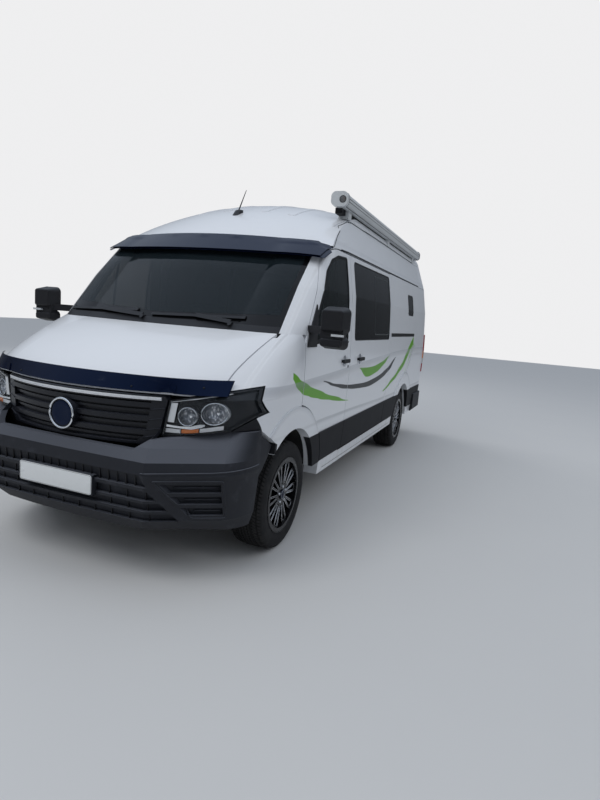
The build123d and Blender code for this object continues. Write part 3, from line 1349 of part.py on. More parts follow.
with BuildPart() as awning:
    for start, length, grow in ((AWNING_FROM + CAP_LENGTH, AWNING_LENGTH - 2 * CAP_LENGTH, 0),
                                (AWNING_FROM, CAP_LENGTH, CAP_PROUD),
                                (AWNING_FROM + AWNING_LENGTH - CAP_LENGTH, CAP_LENGTH, CAP_PROUD)):
        with BuildSketch(Plane.XZ.offset(-start)):
            with Locations((AWNING_X, AWNING_Z)):
                RectangleRounded(AWNING_WIDTH + 2 * grow, AWNING_HEIGHT + 2 * grow, AWNING_CORNER)
        extrude(amount=-length)
    middle_y = AWNING_FROM + AWNING_LENGTH / 2
    reach_y = AWNING_LENGTH / 2 - BRACKET_INSET
    for bracket_y in (middle_y - reach_y, middle_y, middle_y + reach_y):
        add(block((AWNING_X - 66, bracket_y - BRACKET_HALF_LENGTH, AWNING_Z - 125),
                  (AWNING_X + 24, bracket_y + BRACKET_HALF_LENGTH, AWNING_Z - 30)))
    add(outer, mode=Mode.SUBTRACT)

# Inside: dashboard, steering wheel, seats, furniture and curtains

DASH_TOP = 1345
DASH_HALF = 860
Dash = namedtuple("Dash", "back z")
DASH = (Dash(20, 760), Dash(380, 760), Dash(440, 1000), Dash(540, 1180), Dash(540, 1290),
        Dash(470, DASH_TOP), Dash(20, DASH_TOP))
STEER_X = -400
STEER_RADIUS = 190
STEER_GRIP = 15
STEER_BACK = 640
STEER_Z = 1290
STEER_RAKE = 55
HORN_RADIUS = 62
HORN_PAD_HALF = 9
COLUMN_RADIUS = 20
COLUMN_LENGTH = 200
SHROUD_RADIUS = 45
SHROUD = (-330, -60)

rake = radians(STEER_RAKE)
STEER_PLANE = Plane(origin=(STEER_X, FRONT_AXLE_Y + STEER_BACK, STEER_Z), x_dir=(1, 0, 0),
                    z_dir=(0, cos(rake), sin(rake)))

with BuildPart() as dashboard:
    profile = [(FIREWALL_Y + row.back, row.z) for row in DASH]
    extrude(polygon(Plane.YZ, profile), amount=DASH_HALF, both=True)
    with BuildSketch(STEER_PLANE.offset(SHROUD[0])):
        Circle(SHROUD_RADIUS)
    extrude(amount=SHROUD[1] - SHROUD[0])
    with BuildSketch(STEER_PLANE.offset(-COLUMN_LENGTH - PANEL_GAP)):
        Circle(COLUMN_RADIUS + 2)
    extrude(amount=COLUMN_LENGTH, mode=Mode.SUBTRACT)
    add(liner_room.part, mode=Mode.SUBTRACT)

with BuildPart() as steering_wheel:
    with BuildSketch(Plane(origin=STEER_PLANE.origin, x_dir=(1, 0, 0), z_dir=STEER_PLANE.y_dir)):
        with Locations((STEER_RADIUS - STEER_GRIP, 0)):
            Circle(STEER_GRIP)
    revolve(axis=Axis(STEER_PLANE.origin, STEER_PLANE.z_dir))
    with BuildSketch(STEER_PLANE.offset(-HORN_PAD_HALF)):
        Circle(HORN_RADIUS)
        for angle in (0, 180, 270):
            with Locations(Location((0, 0, 0), (0, 0, angle))):
                with Locations((STEER_RADIUS / 2 + 10, 0)):
                    Rectangle(STEER_RADIUS - 50, 34)
    extrude(amount=2 * HORN_PAD_HALF)
    with BuildSketch(STEER_PLANE.offset(-COLUMN_LENGTH)):
        Circle(COLUMN_RADIUS)
    extrude(amount=COLUMN_LENGTH)

SEAT_X = 430
SEAT_WIDTH = 500
SEAT_BACK_OF_AXLE = 870
SEAT_LENGTH = 520
SEAT_BASE_TOP = 830
SEAT_BASE_HALF = (210, 220)
CUSHION_THICK = 130
BACK_HEIGHT = 640
BACK_THICK = 120
BACK_RAKE = 12
HEADREST = (280, 90, 200)

seat_y = FRONT_AXLE_Y + SEAT_BACK_OF_AXLE
lean_back = (0, sin(radians(BACK_RAKE)), cos(radians(BACK_RAKE)))

with BuildPart() as seat_bases:
    for side in (1, -1):
        half_x, half_y = SEAT_BASE_HALF
        add(block((side * SEAT_X - half_x, seat_y - half_y, FLOOR_Z),
                  (side * SEAT_X + half_x, seat_y + half_y, SEAT_BASE_TOP)))

with BuildPart() as cushions:
    for side in (1, -1):
        x = side * SEAT_X
        add(block((x - SEAT_WIDTH / 2, seat_y - SEAT_LENGTH / 2, SEAT_BASE_TOP),
                  (x + SEAT_WIDTH / 2, seat_y + SEAT_LENGTH / 2, SEAT_BASE_TOP + CUSHION_THICK)))
        back_foot = (x, seat_y + 190, SEAT_BASE_TOP + CUSHION_THICK)
        back_plane = Plane(origin=back_foot, x_dir=(1, 0, 0), z_dir=lean_back)
        with BuildSketch(back_plane):
            Rectangle(SEAT_WIDTH - 20, BACK_THICK)
        extrude(amount=BACK_HEIGHT)
        with BuildSketch(back_plane.offset(BACK_HEIGHT)):
            Rectangle(HEADREST[0], HEADREST[1])
        extrude(amount=HEADREST[2])

KITCHEN = ((-900, -300), (-420, 1000))
KITCHEN_TOP = 1330
BENCH = ((-620, 1150), (620, 2700))
BENCH_TOP = 980

with BuildPart() as furniture:
    for (low, high), top in ((KITCHEN, KITCHEN_TOP), (BENCH, BENCH_TOP)):
        add(block((*low, FLOOR_Z), (*high, top)))

CURTAIN_X = (844, 856)
CURTAIN_BACK = (80, 220)
CURTAIN_TOP = GUTTER_Z + 30

with BuildPart() as curtains:
    add(block((CURTAIN_X[0], DOOR_REAR_Y - CURTAIN_BACK[1], WINDOW_BOTTOM_Z),
              (CURTAIN_X[1], DOOR_REAR_Y - CURTAIN_BACK[0], CURTAIN_TOP)))
    add(skin, mode=Mode.SUBTRACT)
    mirror(about=Plane.YZ)


def keep(part, name):
    """Label one finished piece and write it under its own name."""
    part.label = name
    export_step(part, f"parts/{name}.step")


PIECES = {
    "floor_pan": floor_pan, "firewall": firewall, "wheel_liners": wheel_liners, "chassis": chassis,
    "towing_eye": towing_eye, "engine": engine, "exhaust": exhaust, "suspension": suspension,
    "front_wings": front_wings,
    "bonnet": bonnet, "bonnet_deflector": bonnet_deflector, "grille": grille, "grille_trim": grille_trim,
    "headlamp_housings": headlamp_housings, "headlamp_lenses": headlamp_lenses,
    "front_bumper": front_bumper, "scuttle": scuttle, "windscreen": windscreen, "wipers": wipers,
    "roof": roof, "sun_visor": sun_visor, "aerial": aerial, "awning": awning,
    "side_wall_left": side_wall_left, "side_wall_right": side_wall_right,
    "sliding_door": sliding_door, "slide_handle": slide_handle, "slide_rail": slide_rail,
    "side_glass": side_glass, "tail_lamps": tail_lamps, "rear_bumper": rear_bumper,
    "dashboard": dashboard, "steering_wheel": steering_wheel, "seat_bases": seat_bases,
    "cushions": cushions, "furniture": furniture, "curtains": curtains,
}
PAIRS = {
    "front_door": front_door_left, "door_glass": door_glass_left, "door_handle": door_handle_left,
    "mirror": mirror_left, "rear_door": rear_door_left, "rear_glass": rear_glass_left,
}

for name, piece in PIECES.items():
    keep(piece.part, name)

for name, piece in PAIRS.items():
    keep(piece.part, name + "_left")
    keep(mirror(piece.part, about=Plane.YZ), name + "_right")

for name, side, axle_y in WHEELS:
    keep(tyre(side, axle_y), "tyre_" + name)
    keep(rim(side, axle_y), "rim_" + name)

for name, side in (("left", 1), ("right", -1)):
    keep(knuckle(side), "knuckle_" + name)
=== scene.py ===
"""Looks of a white high-roof camper van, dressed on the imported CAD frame.

Metres, +Z up: the nose points to -Y and the sliding-door side is +X.
"""

import json
import logging
import math
from dataclasses import dataclass
from enum import Enum
from functools import reduce
from typing import Any, Callable, Dict, List, Optional, Sequence, Tuple, Union

import bmesh
import bpy
from mathutils import Matrix, Vector
from mathutils.bvhtree import BVHTree


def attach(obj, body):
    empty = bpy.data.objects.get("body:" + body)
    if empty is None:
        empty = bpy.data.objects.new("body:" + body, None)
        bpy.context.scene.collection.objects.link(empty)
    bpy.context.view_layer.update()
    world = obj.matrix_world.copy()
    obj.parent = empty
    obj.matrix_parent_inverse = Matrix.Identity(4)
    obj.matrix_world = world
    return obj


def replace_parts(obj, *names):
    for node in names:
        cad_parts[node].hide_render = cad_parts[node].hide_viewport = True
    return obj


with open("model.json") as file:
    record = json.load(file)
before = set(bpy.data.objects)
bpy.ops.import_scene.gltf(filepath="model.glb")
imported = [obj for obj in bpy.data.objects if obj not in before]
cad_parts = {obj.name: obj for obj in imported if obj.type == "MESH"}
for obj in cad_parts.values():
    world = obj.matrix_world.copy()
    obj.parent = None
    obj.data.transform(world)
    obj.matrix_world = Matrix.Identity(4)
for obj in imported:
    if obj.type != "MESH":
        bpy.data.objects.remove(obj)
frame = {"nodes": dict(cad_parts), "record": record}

LOG = logging.getLogger("camper")
Colour = Point = Tuple[float, float, float]
Pair = Tuple[float, float]
Curve = Tuple[Pair, ...]
Face = Tuple[int, ...]
Value = Union["Signal", float]
Settings = Optional[Dict[str, Any]]
Inputs = Optional[Dict[Union[str, int], Any]]

FAR_AWAY = 6.0
AHEAD_Y = -4.0
BACKWARD: Point = (0.0, 1.0, 0.0)
FORWARD: Point = (0.0, -1.0, 0.0)
WHEEL_X = 0.8625
WHEEL_Z = 0.365


class Side(Enum):
    """The two sides of the van, as the sign of X."""

    LEFT = 1
    RIGHT = -1

    @property
    def tag(self) -> str:
        """The side's name in the names of pieces."""
        return self.name.lower()

    @property
    def inward(self) -> Point:
        """The direction from outside onto that flank."""
        return (-float(self.value), 0.0, 0.0)

    def mirror(self, points: Sequence[Pair]) -> List[Pair]:
        """Points seen from the front, moved to that side."""
        return [(self.value * x, z) for x, z in points]


class Axle(Enum):
    """The two axles, as their place along Y."""

    FRONT = -1.990
    REAR = 1.650

    @property
    def tag(self) -> str:
        """The axle's name in the names of pieces."""
        return self.name.lower()


# Shader arithmetic


def operator(name: str, reflected: bool = False) -> Callable[["Signal", Value], "Signal"]:
    """Make the method behind one arithmetic operator, which adds one Math node.

    Args:
        name: the node's operation.
        reflected: whether the signal is the operation's second value.

    Returns:
        The method.
    """

    def apply(self: "Signal", other: Value) -> "Signal":
        """Apply the operation to the signal and another value."""
        return self.math(name, *((other, self) if reflected else (self, other)))

    return apply


@dataclass(frozen=True)
class Signal:
    """One shader socket that takes part in arithmetic."""

    bench: "Bench"
    socket: bpy.types.NodeSocket

    __add__, __radd__ = operator("ADD"), operator("ADD", True)
    __sub__, __rsub__ = operator("SUBTRACT"), operator("SUBTRACT", True)
    __mul__, __rmul__ = operator("MULTIPLY"), operator("MULTIPLY", True)
    __truediv__, high = operator("DIVIDE"), operator("MAXIMUM")
    zigzag = operator("PINGPONG")

    def math(self, operation: str, *values: Value) -> "Signal":
        """Add one Math node with these inputs."""
        return self.bench.signal("ShaderNodeMath", 0, {"operation": operation}, dict(enumerate(values)))

    def __abs__(self) -> "Signal":
        """Size without its sign."""
        return self.math("ABSOLUTE", self)

    def root(self) -> "Signal":
        """Square root."""
        return self.math("SQRT", self)

    def wave(self) -> "Signal":
        """Sine."""
        return self.math("SINE", self)

    def step(self, start: float, end: float) -> "Signal":
        """Rise smoothly from 0 at start to 1 at end, where start may be the larger."""
        if start > end:
            return 1.0 - self.step(end, start)
        return self.bench.signal("ShaderNodeMapRange", 0, {"interpolation_type": "SMOOTHSTEP"},
                                 {"Value": self, "From Min": start, "From Max": end})

    def within(self, low: float, high: float, soft: float = 0.001) -> "Signal":
        """1 between two values and 0 outside them, with soft edges."""
        return self.step(low - soft, low + soft) * self.step(high + soft, high - soft)


class Bench:
    """The node tree of one material or world, with one method that adds any node."""

    def __init__(self, name: str, sky: bool = False) -> None:
        """Start an empty material, or an empty world, of that name."""
        self.material = (bpy.data.worlds if sky else bpy.data.materials).new(name)
        self.material.use_nodes = True
        self.tree = self.material.node_tree
        self.tree.nodes.clear()
        self.output = self.node("ShaderNodeOutputWorld" if sky else "ShaderNodeOutputMaterial")
        self.vector = None if sky else self.signal("ShaderNodeTexCoord", "Object")

    def node(self, kind: str, settings: Settings = None, inputs: Inputs = None) -> bpy.types.Node:
        """Add one node.

        Args:
            kind: the node's type.
            settings: its properties, set first; "stops" fills a ramp.
            inputs: values or links of its sockets, by name or number.

        Returns:
            The new node.
        """
        made = self.tree.nodes.new(kind)
        for key, value in (settings or {}).items():
            if key == "stops":
                self._fill_ramp(made.color_ramp, value)
            else:
                setattr(made, key, value)
        for key, value in (inputs or {}).items():
            if isinstance(value, Signal):
                self.tree.links.new(value.socket, made.inputs[key])
            else:
                made.inputs[key].default_value = value
        return made

    @staticmethod
    def _fill_ramp(ramp: bpy.types.ColorRamp, stops: Sequence[Pair]) -> None:
        """Give a ramp its grey stops, as places and values, and a smooth curve through them."""
        while len(ramp.elements) < len(stops):
            ramp.elements.new(0.5)
        for element, (place, value) in zip(ramp.elements, stops):
            element.position = place
            element.color = (value, value, value, 1.0)
        ramp.interpolation = "CARDINAL"

    def signal(self, kind: str, output: Union[str, int], settings: Settings = None,
               inputs: Inputs = None) -> Signal:
        """Add one node and give one of its outputs."""
        return Signal(self, self.node(kind, settings, inputs).outputs[output])

    def split(self, vector: Signal) -> Tuple[Signal, Signal, Signal]:
        """The three numbers of a vector."""
        parts = self.node("ShaderNodeSeparateXYZ", None, {0: vector})
        return tuple(Signal(self, socket) for socket in parts.outputs)

    @property
    def place(self) -> Tuple[Signal, Signal, Signal]:
        """Object coordinates as three numbers, in metres."""
        return self.split(self.vector)

    @property
    def facing(self) -> Tuple[Signal, Signal, Signal]:
        """The object-space normal as three numbers."""
        return self.split(self.signal("ShaderNodeTexCoord", "Normal"))

    def scaled(self, scale: Point) -> Signal:
        """Object coordinates stretched along the axes."""
        return self.signal("ShaderNodeVectorMath", 0, {"operation": "MULTIPLY"}, {0: self.vector, 1: scale})

    def noise(self, scale: float, detail: float = 2.0, rough: float = 0.5,
              vector: Optional[Signal] = None) -> Signal:
        """Cloudy noise from 0 to 1 over the object."""
        return self.signal("ShaderNodeTexNoise", "Fac", None, {
            "Vector": vector or self.vector, "Scale": scale, "Detail": detail, "Roughness": rough})

    def cells(self, scale: float, feature: str = "F1", vector: Optional[Signal] = None) -> Signal:
        """Distance to the nearest point of a scatter over the object."""
        return self.signal("ShaderNodeTexVoronoi", "Distance", {"feature": feature},
                           {"Vector": vector or self.vector, "Scale": scale})

    def curve(self, y: Signal, points: Sequence[Pair], start: float, reach: float) -> Signal:
        """A ramp through points that gives a height along the van.

        Args:
            y: the place along the van.
            points: each a place along the van and a height.
            start: the place where the ramp starts.
            reach: how far it reaches.

        Returns:
            The height over BASE_Z.
        """
        stops = [((a - start) / reach, (b - BASE_Z) / SPAN_Z) for a, b in points]
        ramp = self.signal("ShaderNodeValToRGB", "Color", {"stops": stops}, {"Fac": (y - start) / reach})
        return ramp * SPAN_Z

    def blend(self, share: Value, first: Union[Signal, Colour], second: Union[Signal, Colour]) -> Signal:
        """Mix two colours.

        Args:
            share: how much of the second colour there is.
            first: the colour at 0.
            second: the colour at 1.

        Returns:
            The mixed colour.
        """
        pair = [c if isinstance(c, Signal) else (*c, 1.0) for c in (first, second)]
        return self.signal("ShaderNodeMix", 2, {"data_type": "RGBA"}, {0: share, 6: pair[0], 7: pair[1]})

    def bump(self, height: Signal, strength: float, distance: float, under: Optional[Signal] = None) -> Signal:
        """A Bump node's normal, over another one where it is given."""
        inputs = {"Height": height, "Strength": strength, "Distance": distance}
        if under is not None:
            inputs["Normal"] = under
        return self.signal("ShaderNodeBump", "Normal", None, inputs)

    def surface(self, **values: Any) -> bpy.types.Material:
        """Close the material with a Principled shader.

        Args:
            values: socket values, with spaces in names written as underscores.

        Returns:
            The finished material.
        """
        inputs = {}
        for key, value in values.items():
            inputs[key.replace("_", " ")] = (*value, 1.0) if isinstance(value, tuple) else value
        shader = self.node("ShaderNodeBsdfPrincipled", None, inputs)
        self.tree.links.new(shader.outputs[0], self.output.inputs["Surface"])
        return self.material


def highest(signals: Sequence[Signal]) -> Signal:
    """The largest of several signals."""
    return reduce(Signal.high, signals)


# Finishes


@dataclass(frozen=True)
class Finish:
    """One finish, named for where it is used."""

    name: str

    def make(self) -> bpy.types.Material:
        """Build the material on a bench of its own."""
        return self.build(Bench(self.name))

    def build(self, bench: Bench) -> bpy.types.Material:
        """Fill the bench with the finish's nodes."""
        raise NotImplementedError


# Curves on the flank, as places along the van and heights. A ramp holds heights from BASE_Z over SPAN_Z.
# A stripe is an upper and a lower curve with the same ends.
BASE_Z = 0.7
SPAN_Z = 0.8
FLANK_START = -2.7
FLANK_REACH = 5.6
GREEN_STRIPES: Tuple[Tuple[Curve, Curve], ...] = (
    (((-2.085, 1.196), (-1.969, 1.146), (-1.772, 1.084), (-1.44, 1.004), (-1.05, 0.929), (-0.785, 0.879)),
     ((-2.085, 1.155), (-2.024, 1.102), (-1.915, 1.047), (-1.754, 1.008), (-1.541, 0.969), (-1.242, 0.926),
      (-0.785, 0.875))),
    (((-0.545, 1.143), (-0.165, 1.130), (0.13, 1.142), (0.442, 1.178), (0.675, 1.216)),
     ((-0.545, 1.141), (-0.422, 1.093), (-0.299, 1.046), (-0.037, 1.049), (0.258, 1.089), (0.514, 1.155),
      (0.675, 1.212))),
    (((0.51, 0.838), (0.812, 0.915), (1.172, 1.016), (1.546, 1.172), (2.06, 1.415)),
     ((0.51, 0.825), (0.831, 0.877), (1.201, 0.96), (1.591, 1.092), (2.06, 1.315))),
    (((1.62, 0.950), (1.77, 1.090), (1.93, 1.215), (2.12, 1.335)),
     ((1.62, 0.944), (1.77, 1.070), (1.93, 1.190), (2.12, 1.318))),
)
BLACK_STRIPES: Tuple[Tuple[Curve, Curve], ...] = (
    (((-1.495, 1.101), (-1.28, 1.065), (-0.943, 1.026), (-0.557, 1.001), (-0.113, 0.998), (0.391, 1.042),
      (0.72, 1.110), (0.99, 1.186)),
     ((-1.495, 1.093), (-1.338, 1.056), (-1.074, 1.009), (-0.783, 0.976), (-0.457, 0.953), (0.004, 0.947),
      (0.523, 1.006), (0.799, 1.078), (0.99, 1.176))),
    (((1.66, 0.884), (1.80, 1.010), (1.95, 1.150), (2.16, 1.310)),
     ((1.66, 0.880), (1.80, 0.998), (1.95, 1.135), (2.16, 1.300))),
)
BUMPER_CORNER: Tuple[Curve, Curve] = (
    ((-2.665, 0.885), (-2.60, 0.915), (-2.52, 0.962), (-2.495, 0.955), (-2.445, 0.868), (-2.262, 0.770)),
    ((-2.665, 0.71), (-2.262, 0.71)))
WAIST_FOLD: Curve = ((-2.54, 1.124), (-1.86, 1.133), (-0.80, 1.177), (0.657, 1.235), (1.955, 1.262), (2.85, 1.266))
LOW_FOLD: Curve = ((-2.54, 0.815), (-1.70, 0.812), (-1.24, 0.808), (-0.40, 0.790), (0.60, 0.765), (2.85, 0.762))


@dataclass(frozen=True)
class BodyPaint(Finish):
    """White gloss paint with the flank's stripes, the black band and the bumper's corner on the wing."""

    white: Colour = (0.745, 0.765, 0.795)
    second_white: Colour = (0.70, 0.71, 0.73)
    dust: Colour = (0.52, 0.49, 0.44)
    green: Colour = (0.115, 0.37, 0.001)
    black: Colour = (0.004, 0.005, 0.004)
    band: Colour = (0.011, 0.0115, 0.014)
    shadow: Colour = (0.30, 0.32, 0.36)
    band_low: float = 0.4625
    band_high: float = 0.7105
    soft: float = 0.0015
    crease_drop: float = 0.075
    crease_height: float = 0.016
    flare_radius: float = 0.600

    def stripe(self, bench: Bench, curves: Tuple[Curve, Curve], y: Signal, z: Signal) -> Signal:
        """The mask of the stripe between two curves."""
        start, end = curves[0][0][0], curves[0][-1][0]
        above, below = (bench.curve(y, curve, start, end - start) + BASE_Z for curve in curves)
        inside = (above - z).step(-self.soft, self.soft) * (z - below).step(-self.soft, self.soft)
        return inside * y.within(start, end, self.soft)

    def build(self, bench: Bench) -> bpy.types.Material:
        """Build the paint."""
        x, y, z = bench.place
        flank = (bench.facing[0] * x).step(0.25, 0.45) * abs(x).step(0.90, 0.93)
        colour = bench.blend(bench.noise(3.0, 3.0).step(0.35, 0.7) * 0.06, self.white, self.second_white)
        dust = z.step(0.75, 0.40) * bench.noise(14.0, 5.0, 0.6).step(0.35, 0.75) * 0.35
        colour = bench.blend(dust, colour, self.dust)
        masks = []
        for stripes, paint in ((GREEN_STRIPES, self.green), (BLACK_STRIPES, self.black)):
            masks.append(highest([self.stripe(bench, curves, y, z) for curves in stripes]) * flank)
            colour = bench.blend(masks[-1], colour, paint)
        film = highest(masks)
        band = z.within(self.band_low, self.band_high, 0.0008) * abs(x).step(0.965, 0.975) * y.step(-1.895, -1.893)
        band = band.high(self.stripe(bench, BUMPER_CORNER, y, z) * abs(x).step(0.80, 0.82))
        colour = bench.blend(band, colour, self.band)
        height, shade = self.creases(bench, y, z)
        colour = bench.blend(shade * flank * (1.0 - band) * 0.42, colour, self.shadow)
        fold = bench.bump(height * flank, 1.0, self.crease_height)
        peel = bench.bump(bench.noise(260.0, 1.0), 0.012, 0.0006, fold)
        grain = bench.bump(bench.cells(900.0), 0.10, 0.0004)
        normal = bench.signal("ShaderNodeMix", 1, {"data_type": "VECTOR"}, {0: band, 4: peel, 5: grain})
        rough = band * 0.42 + 0.20 + bench.noise(6.0, 4.0) * 0.06 + film * 0.15
        return bench.surface(Base_Color=colour, Roughness=rough, Coat_Weight=(1.0 - band.high(film)) * 0.25,
                             Coat_Roughness=0.06, Specular_IOR_Level=0.24, Normal=normal)

    def creases(self, bench: Bench, y: Signal, z: Signal) -> Tuple[Signal, Signal]:
        """The flank's pressed lines: the waist fold, a low fold and the lip round each arch.

        Args:
            bench: the material's bench.
            y: position along the van.
            z: height.

        Returns:
            The height of the folds and the shade that lies under them.
        """
        waist, low = (z - bench.curve(y, fold, FLANK_START, FLANK_REACH) - BASE_Z
                      for fold in (WAIST_FOLD, LOW_FOLD))
        height = waist.step(-self.crease_drop, 0.0) + low.step(-0.03, 0.0) * 0.3
        waist_shade = waist.step(-0.085, -0.004) * 0.75 + waist.step(-0.50, -0.02) * 0.25
        low_shade = low.step(-0.060, -0.004) * low.step(0.004, -0.004) * 0.8
        rings, edge = [], self.flare_radius
        for axle in Axle:
            run, rise = y - axle.value, z - WHEEL_Z
            far = (run * run + rise * rise).root()
            height = height + far.step(edge + 0.008, edge - 0.012) * 0.4
            low_shade = low_shade * far.step(edge, edge + 0.02)
            rings.append(far.step(edge - 0.055, edge) * far.step(edge + 0.004, edge - 0.002))
        shade = (waist_shade * waist.step(0.004, -0.004)).high(low_shade)
        return height, shade.high(highest(rings) * z.step(0.72, 0.80) * 0.7)


@dataclass(frozen=True)
class Moulded(Finish):
    """Grained black-grey plastic with dust spots and random mottling, painted paler on the faces that look up as
    painted sky light.
    """

    base: Colour = (0.016, 0.0175, 0.023)
    # pale: the colour of the painted sky light on faces that look up, also used for the random mottling.
    pale: Colour = (0.105, 0.112, 0.132)
    rough: float = 0.55
    grain: float = 0.18
    scale: float = 700.0
    sheen: float = 0.32

    def build(self, bench: Bench) -> bpy.types.Material:
        """Build the plastic."""
        # Painted light: faces that look up are made paler and bluer, as if lit by the sky.
        painted_sky_light = bench.facing[2].step(0.05, 0.85) * 0.85
        cloud = bench.noise(9.0, 6.0, 0.65)
        colour = bench.blend(painted_sky_light.high(cloud.step(0.5, 0.8) * 0.25), self.base, self.pale)
        spots = bench.cells(38.0).step(0.075, 0.02) * bench.noise(5.0).step(0.45, 0.6)
        colour = bench.blend(spots * 0.35, colour, (0.16, 0.155, 0.14))
        fine = bench.bump(bench.cells(self.scale), self.grain, 0.0005)
        return bench.surface(Base_Color=colour, Roughness=self.rough - painted_sky_light * 0.08 + cloud * 0.10,
                             Specular_IOR_Level=self.sheen, Normal=fine)


@dataclass(frozen=True)
class DarkGloss(Finish):
    """Smoked acrylic with a blue cast, fine scratches and water marks."""

    base: Colour = (0.0030, 0.0060, 0.020)
    haze: Colour = (0.040, 0.046, 0.062)
    wear: float = 0.30

    def build(self, bench: Bench) -> bpy.types.Material:
        """Build the acrylic."""
        cloud = bench.noise(7.0, 7.0, 0.68)
        streak = bench.noise(26.0, 4.0, 0.6, bench.scaled((0.3, 1.0, 2.2)))
        worn = cloud.step(0.48, 0.78) * streak.step(0.40, 0.75)
        colour = bench.blend(worn * self.wear, self.base, self.haze)
        wave = bench.bump(bench.noise(5.5, 1.0), 0.10, 0.010)
        scratch = bench.bump(bench.noise(160.0, 3.0, 0.7, bench.scaled((1.0, 1.0, 6.0))), 0.03, 0.0008, wave)
        return bench.surface(Base_Color=colour, Roughness=0.12 + worn * 0.25, Specular_IOR_Level=0.22,
                             Specular_Tint=(0.38, 0.56, 1.0), Normal=scratch)


class Tint(Enum):
    """How dark a glass is: its colour and how much of it stays opaque."""

    CLEAR = ((0.60, 0.66, 0.66), 0.10)
    SCREEN = ((0.012, 0.018, 0.022), 0.66)
    DOOR = ((0.010, 0.014, 0.016), 0.62)
    PRIVACY = ((0.005, 0.006, 0.008), 0.97)


@dataclass(frozen=True)
class Glazing(Finish):
    """Glass pane: a gloss skin over a tint, with a black printed edge where it is asked for."""

    tint: Tint = Tint.CLEAR
    screen_edge: bool = False

    def build(self, bench: Bench) -> bpy.types.Material:
        """Build the glass."""
        colour, cover = self.tint.value
        x, y, z = bench.place
        smear = bench.noise(3.5, 5.0, 0.6).step(0.35, 0.8)
        alpha = smear * 0.05 + cover
        shade = bench.blend(smear * 0.3, colour, tuple(c * 1.15 for c in colour))
        if self.screen_edge:
            lean = 0.875 - (z - 1.47) * 0.034
            near_side = (lean - abs(x)).step(0.035, 0.030)
            foot = (z - abs(x) * 0.045).step(1.512, 1.506)
            brow = z.step(1.985, 1.995)
            frit = near_side.high(foot).high(brow)
            shadow = z.step(1.80, 1.99) * 0.35
            alpha = (alpha + shadow).high(frit * 0.995)
            shade = bench.blend(frit, shade, (0.006, 0.006, 0.007))
        ripple = bench.bump(bench.noise(1.6, 1.0), 0.06, 0.02)
        return bench.surface(Base_Color=shade, Roughness=0.03 + smear * 0.03, Alpha=alpha,
                             Specular_IOR_Level=0.24, Normal=ripple)


@dataclass(frozen=True)
class LensGlass(Finish):
    """Clear lamp cover."""

    def build(self, bench: Bench) -> bpy.types.Material:
        """Build the cover."""
        mist = bench.noise(9.0, 5.0).step(0.45, 0.8)
        return bench.surface(Base_Color=(0.10, 0.12, 0.14), Roughness=0.03 + mist * 0.04,
                             Alpha=mist * 0.02 + 0.035, Specular_IOR_Level=0.6)


@dataclass(frozen=True)
class Plated(Finish):
    """Bright plating or vacuum silvering, black outside a band of heights where one is given."""

    colour: Colour = (0.80, 0.82, 0.84)
    rough: float = 0.10
    band: Optional[Pair] = None

    def build(self, bench: Bench) -> bpy.types.Material:
        """Build the plating."""
        cloud = bench.noise(30.0, 4.0)
        wave = bench.bump(bench.noise(22.0, 1.0), 0.05, 0.004)
        colour = bench.blend(cloud.step(0.4, 0.9) * 0.3, self.colour, (0.5, 0.51, 0.53))
        metal: Value = 1.0
        if self.band is not None:
            metal = bench.place[2].within(*self.band)
            colour = bench.blend(metal, (0.012, 0.013, 0.016), colour)
        return bench.surface(Base_Color=colour, Metallic=metal, Roughness=cloud * 0.10 + self.rough,
                             Normal=wave)


@dataclass(frozen=True)
class LampBody(Finish):
    """Inside of a headlamp: black bezel with silvered bowls, whose facets carry painted bright and dark reflections
    and whose rims are darkened by painted shade.
    """

    bowls: Tuple[Point, ...] = ((0.692, 0.962, 0.0505), (0.822, 0.985, 0.0605))

    def build(self, bench: Bench) -> bpy.types.Material:
        """Build the lamp's inside."""
        x, _, z = bench.place
        bowls, rings = [], []
        for centre_x, centre_z, radius in self.bowls:
            across, rise = abs(x) - centre_x, z - centre_z
            far = (across * across + rise * rise).root()
            bowls.append(far.step(radius + 0.0006, radius - 0.0006))
            rings.append(far.step(radius * 0.80, radius * 0.97))
        bright, edge = highest(bowls), rings[0] * rings[1]
        facets = bench.cells(75.0, vector=bench.scaled((1.0, 1.0, 0.45)))
        ribs = bench.bump(facets * bright, 0.60, 0.006)
        # Painted reflection: the bowls' facets are coloured in bright and dark patches, as mirrored light and dark
        # surroundings.
        silver = bench.blend(facets.step(0.12, 0.60), (0.97, 0.98, 1.0), (0.30, 0.32, 0.35))
        # Painted shade: the outer part of each bowl darkens towards its rim.
        silver = bench.blend(edge * 0.75, silver, (0.10, 0.105, 0.115))
        colour = bench.blend(bright, (0.006, 0.0065, 0.008), silver)
        return bench.surface(Base_Color=colour, Metallic=bright * 0.55, Roughness=0.22 - bright * 0.06,
                             Specular_IOR_Level=0.35, Normal=ribs)


@dataclass(frozen=True)
class SignalLens(Finish):
    """Coloured lamp plastic with fine ribs."""

    colour: Colour = (0.42, 0.012, 0.012)
    alpha: float = 1.0
    pitch: float = 260.0

    def build(self, bench: Bench) -> bpy.types.Material:
        """Build the lens."""
        ribs = (bench.place[2] * self.pitch).zigzag(1.0)
        patch = bench.noise(12.0, 2.0)
        colour = bench.blend(ribs * 0.35 + patch * 0.15, self.colour, tuple(c * 0.45 for c in self.colour))
        return bench.surface(Base_Color=colour, Roughness=0.10 + patch * 0.05, Alpha=self.alpha,
                             Coat_Weight=0.7, Coat_Roughness=0.03,
                             Normal=bench.bump(ribs, 0.25, 0.002))


